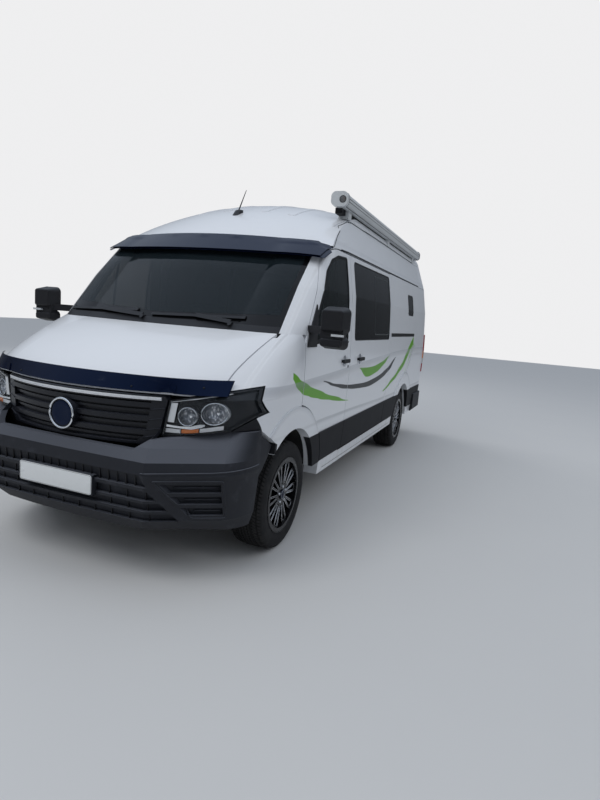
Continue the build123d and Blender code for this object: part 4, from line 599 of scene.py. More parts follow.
@dataclass(frozen=True)
class TailLens(Finish):
    """Rear lamp: red, with an amber band and a clear one."""

    def build(self, bench: Bench) -> bpy.types.Material:
        """Build the lens."""
        _, _, z = bench.place
        ribs = (z * 180.0).zigzag(1.0)
        colour = bench.blend(z.within(1.10, 1.20), (0.40, 0.008, 0.010), (0.75, 0.20, 0.010))
        colour = bench.blend(z.within(1.02, 1.10), colour, (0.62, 0.62, 0.60))
        colour = bench.blend(ribs * 0.3, colour, (0.05, 0.004, 0.004))
        return bench.surface(Base_Color=colour, Roughness=0.10 + bench.noise(10.0) * 0.06,
                             Coat_Weight=0.8, Coat_Roughness=0.03, Normal=bench.bump(ribs, 0.3, 0.002))


@dataclass(frozen=True)
class TyreRubber(Finish):
    """Rubber with tread blocks round the edge, painted shade in the grooves between them, and dusty shoulders."""

    middle_y: float = Axle.FRONT.value

    def build(self, bench: Bench) -> bpy.types.Material:
        """Build the rubber."""
        x, y, z = bench.place
        run, rise = y - self.middle_y, z - WHEEL_Z
        far = (run * run + rise * rise).root()
        across = abs(x) - WHEEL_X
        crown = far.step(WHEEL_Z - 0.020, WHEEL_Z - 0.010)
        blocks = run.math("ARCTAN2", run, rise) * 92.0 / math.tau + across * 18.0
        notch = blocks.zigzag(0.5).step(0.10, 0.20)
        grooves = abs(abs(across) - 0.045).step(0.006, 0.009) * abs(across).step(0.004, 0.007)
        grooves = grooves * abs(abs(across) - 0.088).step(0.004, 0.006)
        tread = (notch * grooves) * crown + (1.0 - crown)
        rings = far.within(0.300, 0.304) + far.within(0.262, 0.266) + far.within(0.332, 0.335)
        dust = bench.noise(11.0, 6.0, 0.65)
        colour = bench.blend(dust.step(0.42, 0.85) * 0.5 + crown * 0.25, (0.013, 0.013, 0.014),
                             (0.050, 0.048, 0.045))
        # Painted shade: the grooves and notches between the tread blocks are darkened almost to black.
        colour = bench.blend((1.0 - tread) * 0.9, colour, (0.004, 0.004, 0.004))
        deep = bench.bump(tread, 1.0, 0.006)
        side = bench.bump(rings + bench.noise(240.0, 2.0) * 0.15, 0.5, 0.0015, deep)
        return bench.surface(Base_Color=colour, Roughness=0.68 + dust * 0.18, Specular_IOR_Level=0.25,
                             Normal=side)


@dataclass(frozen=True)
class BlackAlloy(Finish):
    """Gloss black wheel casting, dusty near the hub."""

    def build(self, bench: Bench) -> bpy.types.Material:
        """Build the casting."""
        dust = bench.noise(16.0, 5.0, 0.6).step(0.45, 0.85)
        colour = bench.blend(dust * 0.35, (0.009, 0.009, 0.011), (0.055, 0.052, 0.050))
        return bench.surface(Base_Color=colour, Roughness=0.24 + dust * 0.25, Metallic=0.35,
                             Coat_Weight=0.25, Coat_Roughness=0.08, Specular_IOR_Level=0.3,
                             Normal=bench.bump(bench.noise(300.0, 2.0), 0.03, 0.0005))


@dataclass(frozen=True)
class Machined(Finish):
    """Bright turned edge of the wheel casting."""

    def build(self, bench: Bench) -> bpy.types.Material:
        """Build the edge."""
        lines = bench.noise(420.0, 2.0)
        return bench.surface(Base_Color=bench.blend(lines * 0.3, (0.62, 0.62, 0.63), (0.36, 0.36, 0.37)),
                             Metallic=1.0, Roughness=0.26 + lines * 0.12)


@dataclass(frozen=True)
class Underside(Finish):
    """Dark under-body metal with road dirt."""

    base: Colour = (0.016, 0.016, 0.017)

    def build(self, bench: Bench) -> bpy.types.Material:
        """Build the metal."""
        dirt = bench.noise(5.0, 7.0, 0.65)
        colour = bench.blend(dirt.step(0.40, 0.80), self.base, (0.050, 0.043, 0.036))
        return bench.surface(Base_Color=colour, Roughness=0.62 + dirt * 0.25, Metallic=0.15,
                             Normal=bench.bump(bench.noise(70.0, 5.0), 0.22, 0.003))


@dataclass(frozen=True)
class Steel(Finish):
    """Bare or aluminised steel, browned in places."""

    def build(self, bench: Bench) -> bpy.types.Material:
        """Build the steel."""
        rust = bench.noise(8.0, 6.0, 0.7).step(0.45, 0.75)
        colour = bench.blend(rust, (0.30, 0.29, 0.28), (0.11, 0.055, 0.030))
        return bench.surface(Base_Color=colour, Roughness=0.38 + rust * 0.4, Metallic=1.0 - rust * 0.6,
                             Normal=bench.bump(bench.noise(90.0, 4.0), 0.15, 0.002))


@dataclass(frozen=True)
class Woven(Finish):
    """Cloth with a weave, shade variation and a little sheen."""

    base: Colour = (0.055, 0.056, 0.060)
    second: Colour = (0.085, 0.086, 0.090)
    threads: float = 620.0

    def build(self, bench: Bench) -> bpy.types.Material:
        """Build the cloth."""
        x, y, z = bench.place
        warp, weft = ((x + y) * self.threads).wave(), ((z + y * 0.3) * self.threads).wave()
        weave = warp * weft * 0.5 + 0.5
        cloud = bench.noise(7.0, 4.0)
        colour = bench.blend(weave * 0.6 + cloud * 0.4, self.base, self.second)
        return bench.surface(Base_Color=colour, Roughness=0.86 + cloud * 0.08, Sheen_Weight=0.35,
                             Sheen_Roughness=0.5, Normal=bench.bump(weave, 0.35, 0.0008))


@dataclass(frozen=True)
class Board(Finish):
    """Pale wood-grain board of the furniture."""

    def build(self, bench: Bench) -> bpy.types.Material:
        """Build the board."""
        grain = bench.noise(7.0, 6.0, 0.62, bench.scaled((1.0, 0.6, 9.0)))
        pores = bench.noise(60.0, 3.0, 0.6, bench.scaled((1.0, 0.5, 12.0)))
        colour = bench.blend(grain.step(0.35, 0.68), (0.46, 0.37, 0.26), (0.30, 0.22, 0.14))
        return bench.surface(Base_Color=bench.blend(pores.step(0.5, 0.8) * 0.4, colour, (0.18, 0.13, 0.08)),
                             Roughness=0.42 + pores * 0.10, Normal=bench.bump(pores, 0.10, 0.0008))


@dataclass(frozen=True)
class Painted(Finish):
    """Plain powder-coated or painted metal with slight mottling."""

    base: Colour = (0.55, 0.57, 0.58)
    dirt: Colour = (0.34, 0.34, 0.32)
    rough: float = 0.38

    def build(self, bench: Bench) -> bpy.types.Material:
        """Build the coat."""
        cloud = bench.noise(5.0, 6.0, 0.6, bench.scaled((1.0, 0.35, 1.0)))
        colour = bench.blend(cloud.step(0.45, 0.85) * 0.45, self.base, self.dirt)
        return bench.surface(Base_Color=colour, Roughness=cloud * 0.15 + self.rough,
                             Normal=bench.bump(bench.noise(320.0, 2.0), 0.04, 0.0005))


@dataclass(frozen=True)
class PlateFace(Finish):
    """Blank reflective plate with a fine cell pattern."""

    base: Colour = (0.72, 0.74, 0.74)

    def build(self, bench: Bench) -> bpy.types.Material:
        """Build the plate's face."""
        cell = bench.cells(420.0, "DISTANCE_TO_EDGE").step(0.02, 0.08)
        dirt = bench.noise(22.0, 5.0).step(0.5, 0.85)
        colour = bench.blend(dirt * 0.25, self.base, tuple(c * 0.7 for c in self.base))
        return bench.surface(Base_Color=colour, Roughness=0.28 + dirt * 0.15, Coat_Weight=0.3,
                             Coat_Roughness=0.10, Normal=bench.bump(cell, 0.05, 0.0004))


class Finishes:
    """Every finish of the van, each built once when it is first asked for."""

    def __init__(self) -> None:
        """List the finishes by name."""
        rows = (
            BodyPaint("body_paint"), Moulded("bumper_plastic"),
            Moulded("soft_black", (0.012, 0.012, 0.014), (0.022, 0.023, 0.026), 0.48, 0.10, 900.0),
            Moulded("trim_rubber", (0.009, 0.009, 0.010), (0.016, 0.016, 0.017), 0.62, 0.05, 500.0),
            Moulded("dash_plastic", (0.030, 0.031, 0.034), (0.060, 0.061, 0.065), 0.60, 0.20, 600.0),
            Moulded("grille_plastic", (0.009, 0.010, 0.014), (0.040, 0.043, 0.055), 0.30, 0.04, 900.0),
            DarkGloss("smoked_acrylic"), Glazing("clear_glass", Tint.CLEAR),
            Glazing("screen_glass", Tint.SCREEN, True), Glazing("privacy_glass", Tint.PRIVACY),
            Glazing("door_glass", Tint.DOOR), LensGlass("lamp_cover"),
            Plated("bright_chrome"), LampBody("lamp_inside"),
            Plated("lamp_silver", (0.86, 0.88, 0.90), 0.16),
            SignalLens("amber_lens", (0.62, 0.16, 0.02)), SignalLens("clear_lens", (0.62, 0.64, 0.66)),
            TailLens("tail_lens"), BlackAlloy("black_alloy"), Machined("machined_edge"),
            Underside("under_metal"), Steel("exhaust_steel"), Woven("seat_cloth"),
            Woven("curtain_cloth", (0.040, 0.110, 0.055), (0.070, 0.165, 0.090), 700.0),
            Board("cabinet_board"), Painted("awning_coat"), PlateFace("plate_white"),
            Painted("lamp_white", (0.66, 0.68, 0.70), (0.50, 0.50, 0.49), 0.30),
            Painted("dark_bracket", (0.035, 0.037, 0.040), (0.06, 0.06, 0.06), 0.45),
            Painted("frame_grey", (0.030, 0.036, 0.038), (0.05, 0.05, 0.05), 0.30),
            Painted("sill_shadow", (0.20, 0.205, 0.21), (0.12, 0.11, 0.10), 0.50),
            Plated("trim_chrome", (0.92, 0.93, 0.95), 0.28, (1.040, 1.0570)),
            Plated("mirror_silver", (0.88, 0.90, 0.92), 0.03), Plated("nut_chrome", (0.66, 0.67, 0.69), 0.22),
            TailLens("red_lens"), Woven("lining_cloth", (0.34, 0.34, 0.33), (0.42, 0.42, 0.41)),
        )
        self._rows = {row.name: row for row in rows}
        for axle in Axle:
            name = f"tyre_rubber_{axle.tag}"
            self._rows[name] = TyreRubber(name, axle.value)
        self._made: Dict[str, bpy.types.Material] = {}

    def get(self, name: str) -> bpy.types.Material:
        """The material of that name."""
        if name not in self._made:
            self._made[name] = self._rows[name].make()
        return self._made[name]


# Mesh helpers


@dataclass(frozen=True)
class Look:
    """A piece's finish, the record's slot that it belongs to and the body that it rides on."""

    finish: str
    slot: str
    body: str = "root"

    def on(self, body: str) -> "Look":
        """The same look on another body."""
        return Look(self.finish, self.slot, body)


SOFT_BLACK = Look("soft_black", "dark_plastic")
BUMPER_BLACK = Look("bumper_plastic", "dark_plastic")
RUBBER = Look("trim_rubber", "dark_plastic")
BRACKET = Look("dark_bracket", "dark_plastic")
CHROME = Look("bright_chrome", "lamp_chrome")
SMOKED = Look("smoked_acrylic", "gloss_black")
AWNING_LINE = Look("dark_bracket", "awning_case")
PLATE_WHITE = Look("plate_white", "awning_case")
SPOKE_EDGE = Look("machined_edge", "rim_alloy")
SEAT_CLOTH = Look("seat_cloth", "seat_fabric")
DASH = Look("dash_plastic", "dash_plastic")

BLOCK_FACES: Tuple[Face, ...] = ((0, 1, 3, 2), (4, 6, 7, 5), (0, 4, 5, 1), (2, 3, 7, 6), (0, 2, 6, 4), (1, 5, 7, 3))
CROWNED = ((-0.5, -0.6), (-0.5, 0.55), (-0.25, 1.0), (0.25, 1.0), (0.5, 0.55), (0.5, -0.6))


def circle(centre: Point, radius: float, axis: Point, steps: int = 32) -> List[Vector]:
    """Points right round a circle.

    Args:
        centre: the circle's centre.
        radius: its radius.
        axis: the direction that it faces.
        steps: how many points it has.

    Returns:
        The points.
    """
    way = Vector(axis).normalized()
    side = way.orthogonal().normalized()
    up = way.cross(side)
    turns = [math.tau * k / steps for k in range(steps)]
    return [Vector(centre) + radius * (math.cos(turn) * side + math.sin(turn) * up) for turn in turns]


def rounded(corners: Sequence[Pair], radius: float, steps: int = 5, spacing: float = 0.12) -> List[Pair]:
    """A closed outline with its corners rounded and its long runs divided.

    Args:
        corners: the outline's corners in order.
        radius: how far from each corner its round starts.
        steps: how many cells one round has.
        spacing: how far apart the points on a long run are.

    Returns:
        The outline's points.
    """
    points: List[Pair] = []
    for i, corner in enumerate(corners):
        here = Vector(corner)
        before, after = Vector(corners[i - 1]), Vector(corners[(i + 1) % len(corners)])
        start = here + (before - here).normalized() * radius
        end = here + (after - here).normalized() * radius
        for k in range(steps + 1):
            t = k / steps
            points.append(tuple((1 - t) ** 2 * start + 2 * t * (1 - t) * here + t * t * end))
        run = (after + (here - after).normalized() * radius) - end
        count = int(run.length / spacing)
        points += [tuple(end + run * (k / (count + 1))) for k in range(1, count + 1)]
    return points


def grown(corners: Sequence[Pair], amount: float) -> List[Pair]:
    """Corners moved away from their middle by an amount, or towards it where the amount is negative."""
    middle = Vector([sum(axis) / len(corners) for axis in zip(*corners)])
    moved = []
    for corner in corners:
        reach = Vector(corner) - middle
        moved.append(tuple(middle + Vector([r + amount * math.copysign(1.0, r) for r in reach])))
    return moved


def line(start: Pair, end: Pair, count: int) -> List[Pair]:
    """Evenly spaced points from start to end."""
    return [tuple(a + k / (count - 1) * (b - a) for a, b in zip(start, end)) for k in range(count)]


def chain(bends: Sequence[Pair], count: int) -> List[Pair]:
    """Evenly spaced points along each stretch between bends, without the last one."""
    return [pair for a, b in zip(bends, bends[1:]) for pair in line(a, b, count)[:-1]]


def ring_faces(rings: int, sides: int, first: int = 0, looped: bool = False) -> List[Face]:
    """The faces that join a row of rings.

    Args:
        rings: how many rings there are.
        sides: how many points one ring has.
        first: the number of the first point.
        looped: whether the last ring joins the first; otherwise both ends are closed by a face.

    Returns:
        The faces.
    """
    faces: List[Face] = []
    for i in range(rings if looped else rings - 1):
        a, b = first + i * sides, first + (i + 1) % rings * sides
        faces += [(a + k, a + (k + 1) % sides, b + (k + 1) % sides, b + k) for k in range(sides)]
    if not looped:
        last = first + (rings - 1) * sides
        faces += [tuple(range(first, first + sides)), tuple(range(last, last + sides))]
    return faces


def shell_faces(columns: int, count: int) -> List[Face]:
    """The faces of a thin shell: a grid of points, the same grid again in front of it, and the rim between.

    Args:
        columns: how many columns the grid has.
        count: how many points one column has.

    Returns:
        The faces.
    """
    total = columns * count
    faces: List[Face] = []
    for i in range(columns - 1):
        for a in range(i * count, (i + 1) * count - 1):
            b = a + count
            faces += [(a, a + 1, b + 1, b), (total + a, total + b, total + b + 1, total + a + 1)]
    rim = list(range(0, total, count)) + list(range(total - count + 1, total))
    rim += list(range(total - count - 1, 0, -count)) + list(range(count - 2, 0, -1))
    return faces + [(a, b, total + b, total + a) for a, b in zip(rim, rim[1:] + rim[:1])]


class Shop:
    """Makes the scene's own pieces and hands them to their bodies.

    Every method that makes a piece takes its name first and its look last, and gives the new object.
    """

    def __init__(self, finishes: Finishes) -> None:
        """Keep the finishes and read the CAD surfaces on demand."""
        self.finishes = finishes
        self._trees: Dict[str, BVHTree] = {}

    def hit(self, node: str, start: Point, way: Point) -> Optional[Tuple[Vector, Vector]]:
        """Find where a ray first meets a CAD node, or the nearest of several.

        Args:
            node: the CAD node's name, or several joined by "+".
            start: where the ray starts.
            way: its direction.

        Returns:
            The point and the normal there, or None.
        """
        if "+" in node:
            found = [row for row in (self.hit(one, start, way) for one in node.split("+")) if row]
            return min(found, key=lambda row: (row[0] - Vector(start)).length, default=None)
        if node not in self._trees:
            mesh = frame["nodes"][node].data
            self._trees[node] = BVHTree.FromPolygons([v.co[:] for v in mesh.vertices],
                                                     [p.vertices[:] for p in mesh.polygons])
        place, normal, _, _ = self._trees[node].ray_cast(Vector(start), Vector(way).normalized())
        return None if place is None else (place, normal)

    def lay(self, node: str, places: Sequence[Pair], way: Point, lift: float = 0.0) -> List[Tuple[Vector, Vector]]:
        """Drop points onto a CAD surface along one axis.

        Args:
            node: the CAD node that they land on.
            places: the two coordinates of each point that don't run along the axis.
            way: the direction that they travel in.
            lift: how far they stand off the surface.

        Returns:
            Each landing point, with the outward normal there. A point that misses keeps the depth before it.
        """
        axis = max(range(3), key=lambda k: abs(way[k]))
        landed: List[Tuple[Vector, Vector]] = []
        for pair in places:
            start = list(pair)
            start.insert(axis, -FAR_AWAY * way[axis])
            found = self.hit(node, tuple(start), way)
            if found is not None:
                place, normal = found
                normal = normal if normal.dot(Vector(way)) < 0 else -normal
                outward = (normal - Vector(way)).normalized()
                landed.append((place + outward * lift, outward))
            elif landed:
                start[axis] = landed[-1][0][axis]
                landed.append((Vector(start), landed[-1][1]))
        return landed

    def piece(self, name: str, points: Sequence[Sequence[float]], faces: Sequence[Sequence[int]], look: Look,
              smooth: bool = False) -> bpy.types.Object:
        """Make one mesh piece that rides on a body.

        Args:
            name: the piece's name.
            points: its vertices in metres.
            faces: its faces.
            look: its look.
            smooth: whether its faces are shaded smooth.

        Returns:
            The new object.
        """
        mesh = bpy.data.meshes.new(name)
        mesh.from_pydata([tuple(p) for p in points], [], [tuple(f) for f in faces])
        work = bmesh.new()
        work.from_mesh(mesh)
        bmesh.ops.remove_doubles(work, verts=work.verts, dist=1e-6)
        bmesh.ops.recalc_face_normals(work, faces=work.faces)
        work.to_mesh(mesh)
        work.free()
        made = bpy.data.objects.new(name, mesh)
        bpy.context.scene.collection.objects.link(made)
        mesh.materials.append(self.finishes.get(look.finish))
        for face in mesh.polygons:
            face.use_smooth = smooth
        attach(made, look.body)
        return made

    def turned(self, name: str, points: Sequence[Sequence[float]], faces: Sequence[Sequence[int]], look: Look,
               sharp: float) -> bpy.types.Object:
        """A smooth piece whose edges stay sharp beyond an angle."""
        made = self.piece(name, points, faces, look, smooth=True)
        made.data.set_sharp_from_angle(angle=sharp)
        return made

    @staticmethod
    def soften(made: bpy.types.Object, width: float) -> bpy.types.Object:
        """Round a piece's edges with a bevel applied to its mesh."""
        work = bmesh.new()
        work.from_mesh(made.data)
        edges = [e for e in work.edges if e.is_manifold and e.calc_face_angle(0.0) > 0.5]
        bmesh.ops.bevel(work, geom=edges, offset=width, segments=2, profile=0.6, affect="EDGES", clamp_overlap=True)
        work.to_mesh(made.data)
        work.free()
        for face in made.data.polygons:
            face.use_smooth = True
        made.data.set_sharp_from_angle(angle=0.7)
        return made

    def box(self, name: str, low: Point, high: Point, look: Look, round_by: float) -> bpy.types.Object:
        """A box with rounded edges between two corners."""
        points = [(x, y, z) for x in (low[0], high[0]) for y in (low[1], high[1]) for z in (low[2], high[2])]
        return self.soften(self.piece(name, points, BLOCK_FACES, look), round_by)

    def bars(self, name: str, rows: Sequence[Tuple[Point, Point]], look: Look) -> bpy.types.Object:
        """Many small blocks as one piece, each with its centre and its size."""
        corners = [(a, b, c) for a in (-0.5, 0.5) for b in (-0.5, 0.5) for c in (-0.5, 0.5)]
        points: List[Vector] = []
        faces: List[Face] = []
        for centre, size in rows:
            faces += [tuple(len(points) + k for k in face) for face in BLOCK_FACES]
            points += [Vector(centre) + Vector([a * b for a, b in zip(corner, size)]) for corner in corners]
        return self.piece(name, points, faces, look)

    def tube(self, name: str, paths: Sequence[Sequence[Sequence[float]]], radius: float, look: Look,
             closed: bool = False, sides: int = 6) -> bpy.types.Object:
        """Round bars along one or more paths, as one piece.

        Args:
            name: the piece's name.
            paths: the points of each path.
            radius: the bar's radius.
            look: its look.
            closed: whether each path runs back to its start.
            sides: how many sides the bar has.

        Returns:
            The new object.
        """
        points: List[Vector] = []
        faces: List[Face] = []
        for path in paths:
            spots = [Vector(p) for p in path]
            count = len(spots)
            faces += ring_faces(count, sides, len(points), closed)
            for i, here in enumerate(spots):
                before = spots[i - 1] if closed or i else here
                after = spots[(i + 1) % count] if closed or i < count - 1 else here
                along = (after - before).normalized()
                side = along.cross(Vector((0, 0, 1)))
                side = along.cross(Vector((1, 0, 0))) if side.length < 0.2 else side
                side.normalize()
                up = side.cross(along)
                turns = [math.tau * k / sides for k in range(sides)]
                points += [here + radius * (math.cos(turn) * side + math.sin(turn) * up) for turn in turns]
        return self.piece(name, points, faces, look, smooth=True)

    def lathe(self, name: str, profile: Sequence[Pair], centre: Point, axis: Point, look: Look,
              steps: int = 32) -> bpy.types.Object:
        """Turn a profile about an axis.

        Args:
            name: the piece's name.
            profile: points as distance along the axis and radius.
            centre: where the axis starts.
            axis: its direction.
            look: the piece's look.
            steps: how many steps one turn has.

        Returns:
            The new object.
        """
        way = Vector(axis).normalized()
        points = [point for along, radius in profile
                  for point in circle(Vector(centre) + along * way, radius, axis, steps)]
        return self.turned(name, points, ring_faces(len(profile), steps), look, 0.6)

    def plate(self, name: str, outline: Sequence[Sequence[float]], thick: Sequence[float], look: Look,
              round_by: float) -> bpy.types.Object:
        """Sweep a flat outline along one vector.

        Args:
            name: the piece's name.
            outline: the outline's points.
            thick: the vector that it is swept along.
            look: the piece's look.
            round_by: how much its edges are rounded.

        Returns:
            The new object.
        """
        count = len(outline)
        near = [Vector(p) for p in outline]
        far = [p + Vector(thick) for p in near]
        faces: List[Face] = [tuple(range(count)), tuple(range(2 * count - 1, count - 1, -1))]
        faces += [(i, (i + 1) % count, count + (i + 1) % count, count + i) for i in range(count)]
        return self.soften(self.piece(name, near + far, faces, look), round_by)

    def strip(self, name: str, path: Sequence[Tuple[Vector, Vector]], width: float, thick: float, look: Look,
              closed: bool = False) -> bpy.types.Object:
        """A crowned band along a path that lies on a surface.

        Args:
            name: the piece's name.
            path: its points, each with the surface's normal.
            width: the band's width.
            thick: how far it stands up.
            look: its look.
            closed: whether it runs back to its start.

        Returns:
            The new object.
        """
        points: List[Vector] = []
        for i, (here, normal) in enumerate(path):
            before = path[i - 1][0] if closed or i else here
            after = path[(i + 1) % len(path)][0] if closed or i < len(path) - 1 else here
            side = (after - before).normalized().cross(normal).normalized()
            points += [here + side * width * a + normal * thick * b for a, b in CROWNED]
        return self.turned(name, points, ring_faces(len(path), len(CROWNED), 0, closed), look, 0.9)

    def skin(self, name: str, node: str, edges: Sequence[Sequence[Pair]], lift: float, thick: float, look: Look,
             steps: int = 4, across: int = 3) -> bpy.types.Object:
        """A thin patch that follows a CAD surface, seen from the front, between two edges.

        Args:
            name: the piece's name.
            node: the CAD node whose surface it follows.
            edges: its upper and its lower edge, with as many points in each.
            lift: how far its back stands off the surface, less than 0 where it is set in.
            thick: its thickness.
            look: its look.
            steps: how many cells one stretch of the edges has.
            across: how many cells there are between the edges.

        Returns:
            The new object.
        """
        columns: List[List[Tuple[Vector, Vector]]] = []
        last = len(edges[0]) - 2
        for i in range((last + 1) * steps + 1):
            k = min(i // steps, last)
            share = i / steps - k
            ends = [tuple(a + share * (b - a) for a, b in zip(edge[k], edge[k + 1])) for edge in edges]
            rows = [tuple(a + j / across * (b - a) for a, b in zip(*ends)) for j in range(across + 1)]
            columns.append(self.lay(node, rows, BACKWARD, lift))
        columns = [column for column in columns if len(column) == across + 1]
        back = [place for column in columns for place, _ in column]
        front = [place + normal * thick for column in columns for place, normal in column]
        return self.turned(name, back + front, shell_faces(len(columns), across + 1), look, 0.6)

    def pad(self, name: str, size: Point, turn: Matrix, look: Look, crown: float,
            channels: int) -> bpy.types.Object:
        """A stuffed cushion: a rounded block whose faces swell, with sewn channels across its top.

        Args:
            name: the piece's name.
            size: its width, depth and thickness.
            turn: its place, as a matrix whose Z is the face that is sat on.
            look: its look.
            crown: how far the top swells.
            channels: how many panels the seams part its top into.

        Returns:
            The new object.
        """
        power, seam_depth, pinched = 6, 0.010, 0.03
        work = bmesh.new()
        bmesh.ops.create_cube(work, size=2.0)
        bmesh.ops.subdivide_edges(work, edges=work.edges[:], cuts=13, use_grid_fill=True)
        for vert in work.verts:
            far = sum(abs(part) ** power for part in vert.co) ** (1 / power)
            a, b, c = (part / far for part in vert.co)
            pinch = 1.0 - pinched * (1.0 - c * c) * abs(a * b)
            swell = crown * (1.0 - a * a) * (1.0 - b * b) * max(c, 0.0)
            seam = abs(math.sin(math.pi * channels * (b + 1.0) / 2.0)) ** 0.35
            groove = seam_depth * (1.0 - seam) * max(c, 0.0) * (1.0 - a ** power)
            vert.co = (a * pinch * size[0] / 2, b * pinch * size[1] / 2,
                       c * (size[2] / 2 - crown / 2) + swell - groove)
        points = [turn @ vert.co for vert in work.verts]
        work.verts.index_update()
        faces = [tuple(vert.index for vert in face.verts) for face in work.faces]
        work.free()
        return self.piece(name, points, faces, look, smooth=True)


# The studio


@dataclass
class Studio:
    """Camera, floor, world and lamps."""

    eye: Point = (2.29212068, -5.21556111, 1.53878451)
    yaw: float = math.radians(-21.22248)
    pitch: float = math.radians(-8.59740)
    roll: float = math.radians(4.59536)
    focal_pixels: float = 540.505
    long_side_pixels: float = 800.0
    sensor: float = 36.0
    floor_size: float = 60.0
    floor_grey: float = 0.62
    sky_grey: float = 0.86
    soft_low: Colour = (0.13, 0.13, 0.135)
    soft_high: Colour = (0.56, 0.61, 0.69)
    sky_low: Colour = (0.06, 0.065, 0.07)
    sky_high: Colour = (0.70, 0.80, 0.96)

    def camera(self) -> None:
        """Stand the camera where the photograph was taken from."""
        data = bpy.data.cameras.new("camera")
        data.sensor_width = self.sensor
        data.lens = self.sensor * self.focal_pixels / self.long_side_pixels
        data.clip_end = 200.0
        ahead = Vector((math.sin(self.yaw) * math.cos(self.pitch), math.cos(self.yaw) * math.cos(self.pitch),
                        math.sin(self.pitch)))
        level = Vector((math.cos(self.yaw), -math.sin(self.yaw), 0.0))
        above = level.cross(ahead)
        right = math.cos(self.roll) * level + math.sin(self.roll) * above
        up = -math.sin(self.roll) * level + math.cos(self.roll) * above
        turn = Matrix((right, up, -ahead)).transposed().to_4x4()
        made = bpy.data.objects.new("camera", data)
        made.matrix_world = Matrix.Translation(self.eye) @ turn
        bpy.context.scene.collection.objects.link(made)
        bpy.context.scene.camera = made

    def floor(self) -> None:
        """Lay a pale floor."""
        half = self.floor_size / 2
        mesh = bpy.data.meshes.new("floor")
        corners = [(-half, -half, 0), (half, -half, 0), (half, half, 0), (-half, half, 0)]
        mesh.from_pydata(corners, [], [(0, 1, 2, 3)])
        made = bpy.data.objects.new("floor", mesh)
        bpy.context.scene.collection.objects.link(made)
        bench = Bench("floor_matt")
        cloud = bench.noise(1.3, 5.0)
        grey = self.floor_grey
        mesh.materials.append(bench.surface(
            Base_Color=bench.blend(cloud * 0.5, (grey, grey, grey * 0.985), (grey * 0.94,) * 3),
            Roughness=0.9))

    def world(self) -> None:
        """Soft light from all round; gloss surfaces see a sky that is dark low down and pale overhead."""
        bench = Bench("soft_sky", sky=True)
        bpy.context.scene.world = bench.material
        camera, through, glossy = (bench.signal("ShaderNodeLightPath", f"Is {kind} Ray")
                                   for kind in ("Camera", "Transmission", "Glossy"))
        height = bench.split(bench.signal("ShaderNodeTexCoord", "Generated"))[2]
        sky = bench.blend(height.step(-0.05, 0.95), self.sky_low, self.sky_high)
        grey = (self.sky_grey, self.sky_grey, self.sky_grey * 1.01)
        soft = bench.blend(height.step(-0.20, 0.90), self.soft_low, self.soft_high)
        colour = bench.blend(glossy, soft, sky)
        colour = bench.blend(camera.high(through), colour, grey)
        back = bench.node("ShaderNodeBackground", None, {"Color": colour, "Strength": 1.0})
        bench.tree.links.new(back.outputs[0], bench.output.inputs["Surface"])

    def lamp(self, name: str, place: Point, aim: Point, size: float, power: float) -> None:
        """Add one soft square lamp."""
        data = bpy.data.lights.new(name, "AREA")
        data.size = size
        data.energy = power
        made = bpy.data.objects.new(name, data)
        made.visible_glossy = False
        way = Vector(aim) - Vector(place)
        made.matrix_world = Matrix.Translation(place) @ way.to_track_quat("-Z", "Y").to_matrix().to_4x4()
        bpy.context.scene.collection.objects.link(made)

    def build(self) -> None:
        """Set up the whole studio."""
        bpy.context.scene.view_settings.view_transform = "Standard"
        self.camera()
        self.floor()
        self.world()
        self.lamp("key", (-2.0, -8.0, 8.5), (0.0, -1.5, 1.0), 5.0, 300.0)
        self.lamp("side", (8.5, -1.0, 7.5), (0.9, 0.5, 1.2), 5.0, 120.0)
        self.lamp("back", (-7.0, 6.0, 7.0), (0.0, 1.0, 1.0), 6.0, 240.0)


# Dressing the CAD nodes


class Dresser:
    """Gives every CAD node its finish."""

    by_slot = {
        "white": "body_paint", "dark_plastic": "bumper_plastic", "gloss_black": "smoked_acrylic",
        "clear_glass": "door_glass", "privacy_glass": "privacy_glass", "lamp_chrome": "lamp_inside",
        "lamp_red": "tail_lens", "awning_case": "awning_coat", "floor_steel": "under_metal",
        "tyre_rubber": "tyre_rubber_front", "rim_alloy": "black_alloy", "dash_plastic": "dash_plastic",
        "seat_fabric": "seat_cloth", "cabinet_board": "cabinet_board", "curtain_cloth": "curtain_cloth",
    }
    by_node = {
        "windscreen": "screen_glass", "headlamp_lenses": "lamp_cover", "grille": "grille_plastic",
        "grille_trim": "trim_chrome", "mirror_left": "soft_black", "mirror_right": "soft_black",
        "aerial": "soft_black", "scuttle": "soft_black", "wipers": "soft_black", "slide_rail": "trim_rubber",
        "slide_handle": "soft_black", "door_handle_left": "soft_black", "door_handle_right": "soft_black",
        "tyre_rear_left": "tyre_rubber_rear", "tyre_rear_right": "tyre_rubber_rear",
        "exhaust": "exhaust_steel",
    }

    def __init__(self, finishes: Finishes) -> None:
        """Keep the finishes."""
        self.finishes = finishes

    def dress(self) -> None:
        """Put each node's finish on it, by its own name or by its slot."""
        slots = {row["node"]: row["material_slot"] for row in frame["record"]["subparts"]}
        for name, node in frame["nodes"].items():
            finish = self.by_node.get(name, self.by_slot[slots[name]])
            node.data.materials.clear()
            node.data.materials.append(self.finishes.get(finish))
            for face in node.data.polygons:
                face.use_smooth = True
            node.data.set_sharp_from_angle(angle=math.radians(24.0))


# Nose


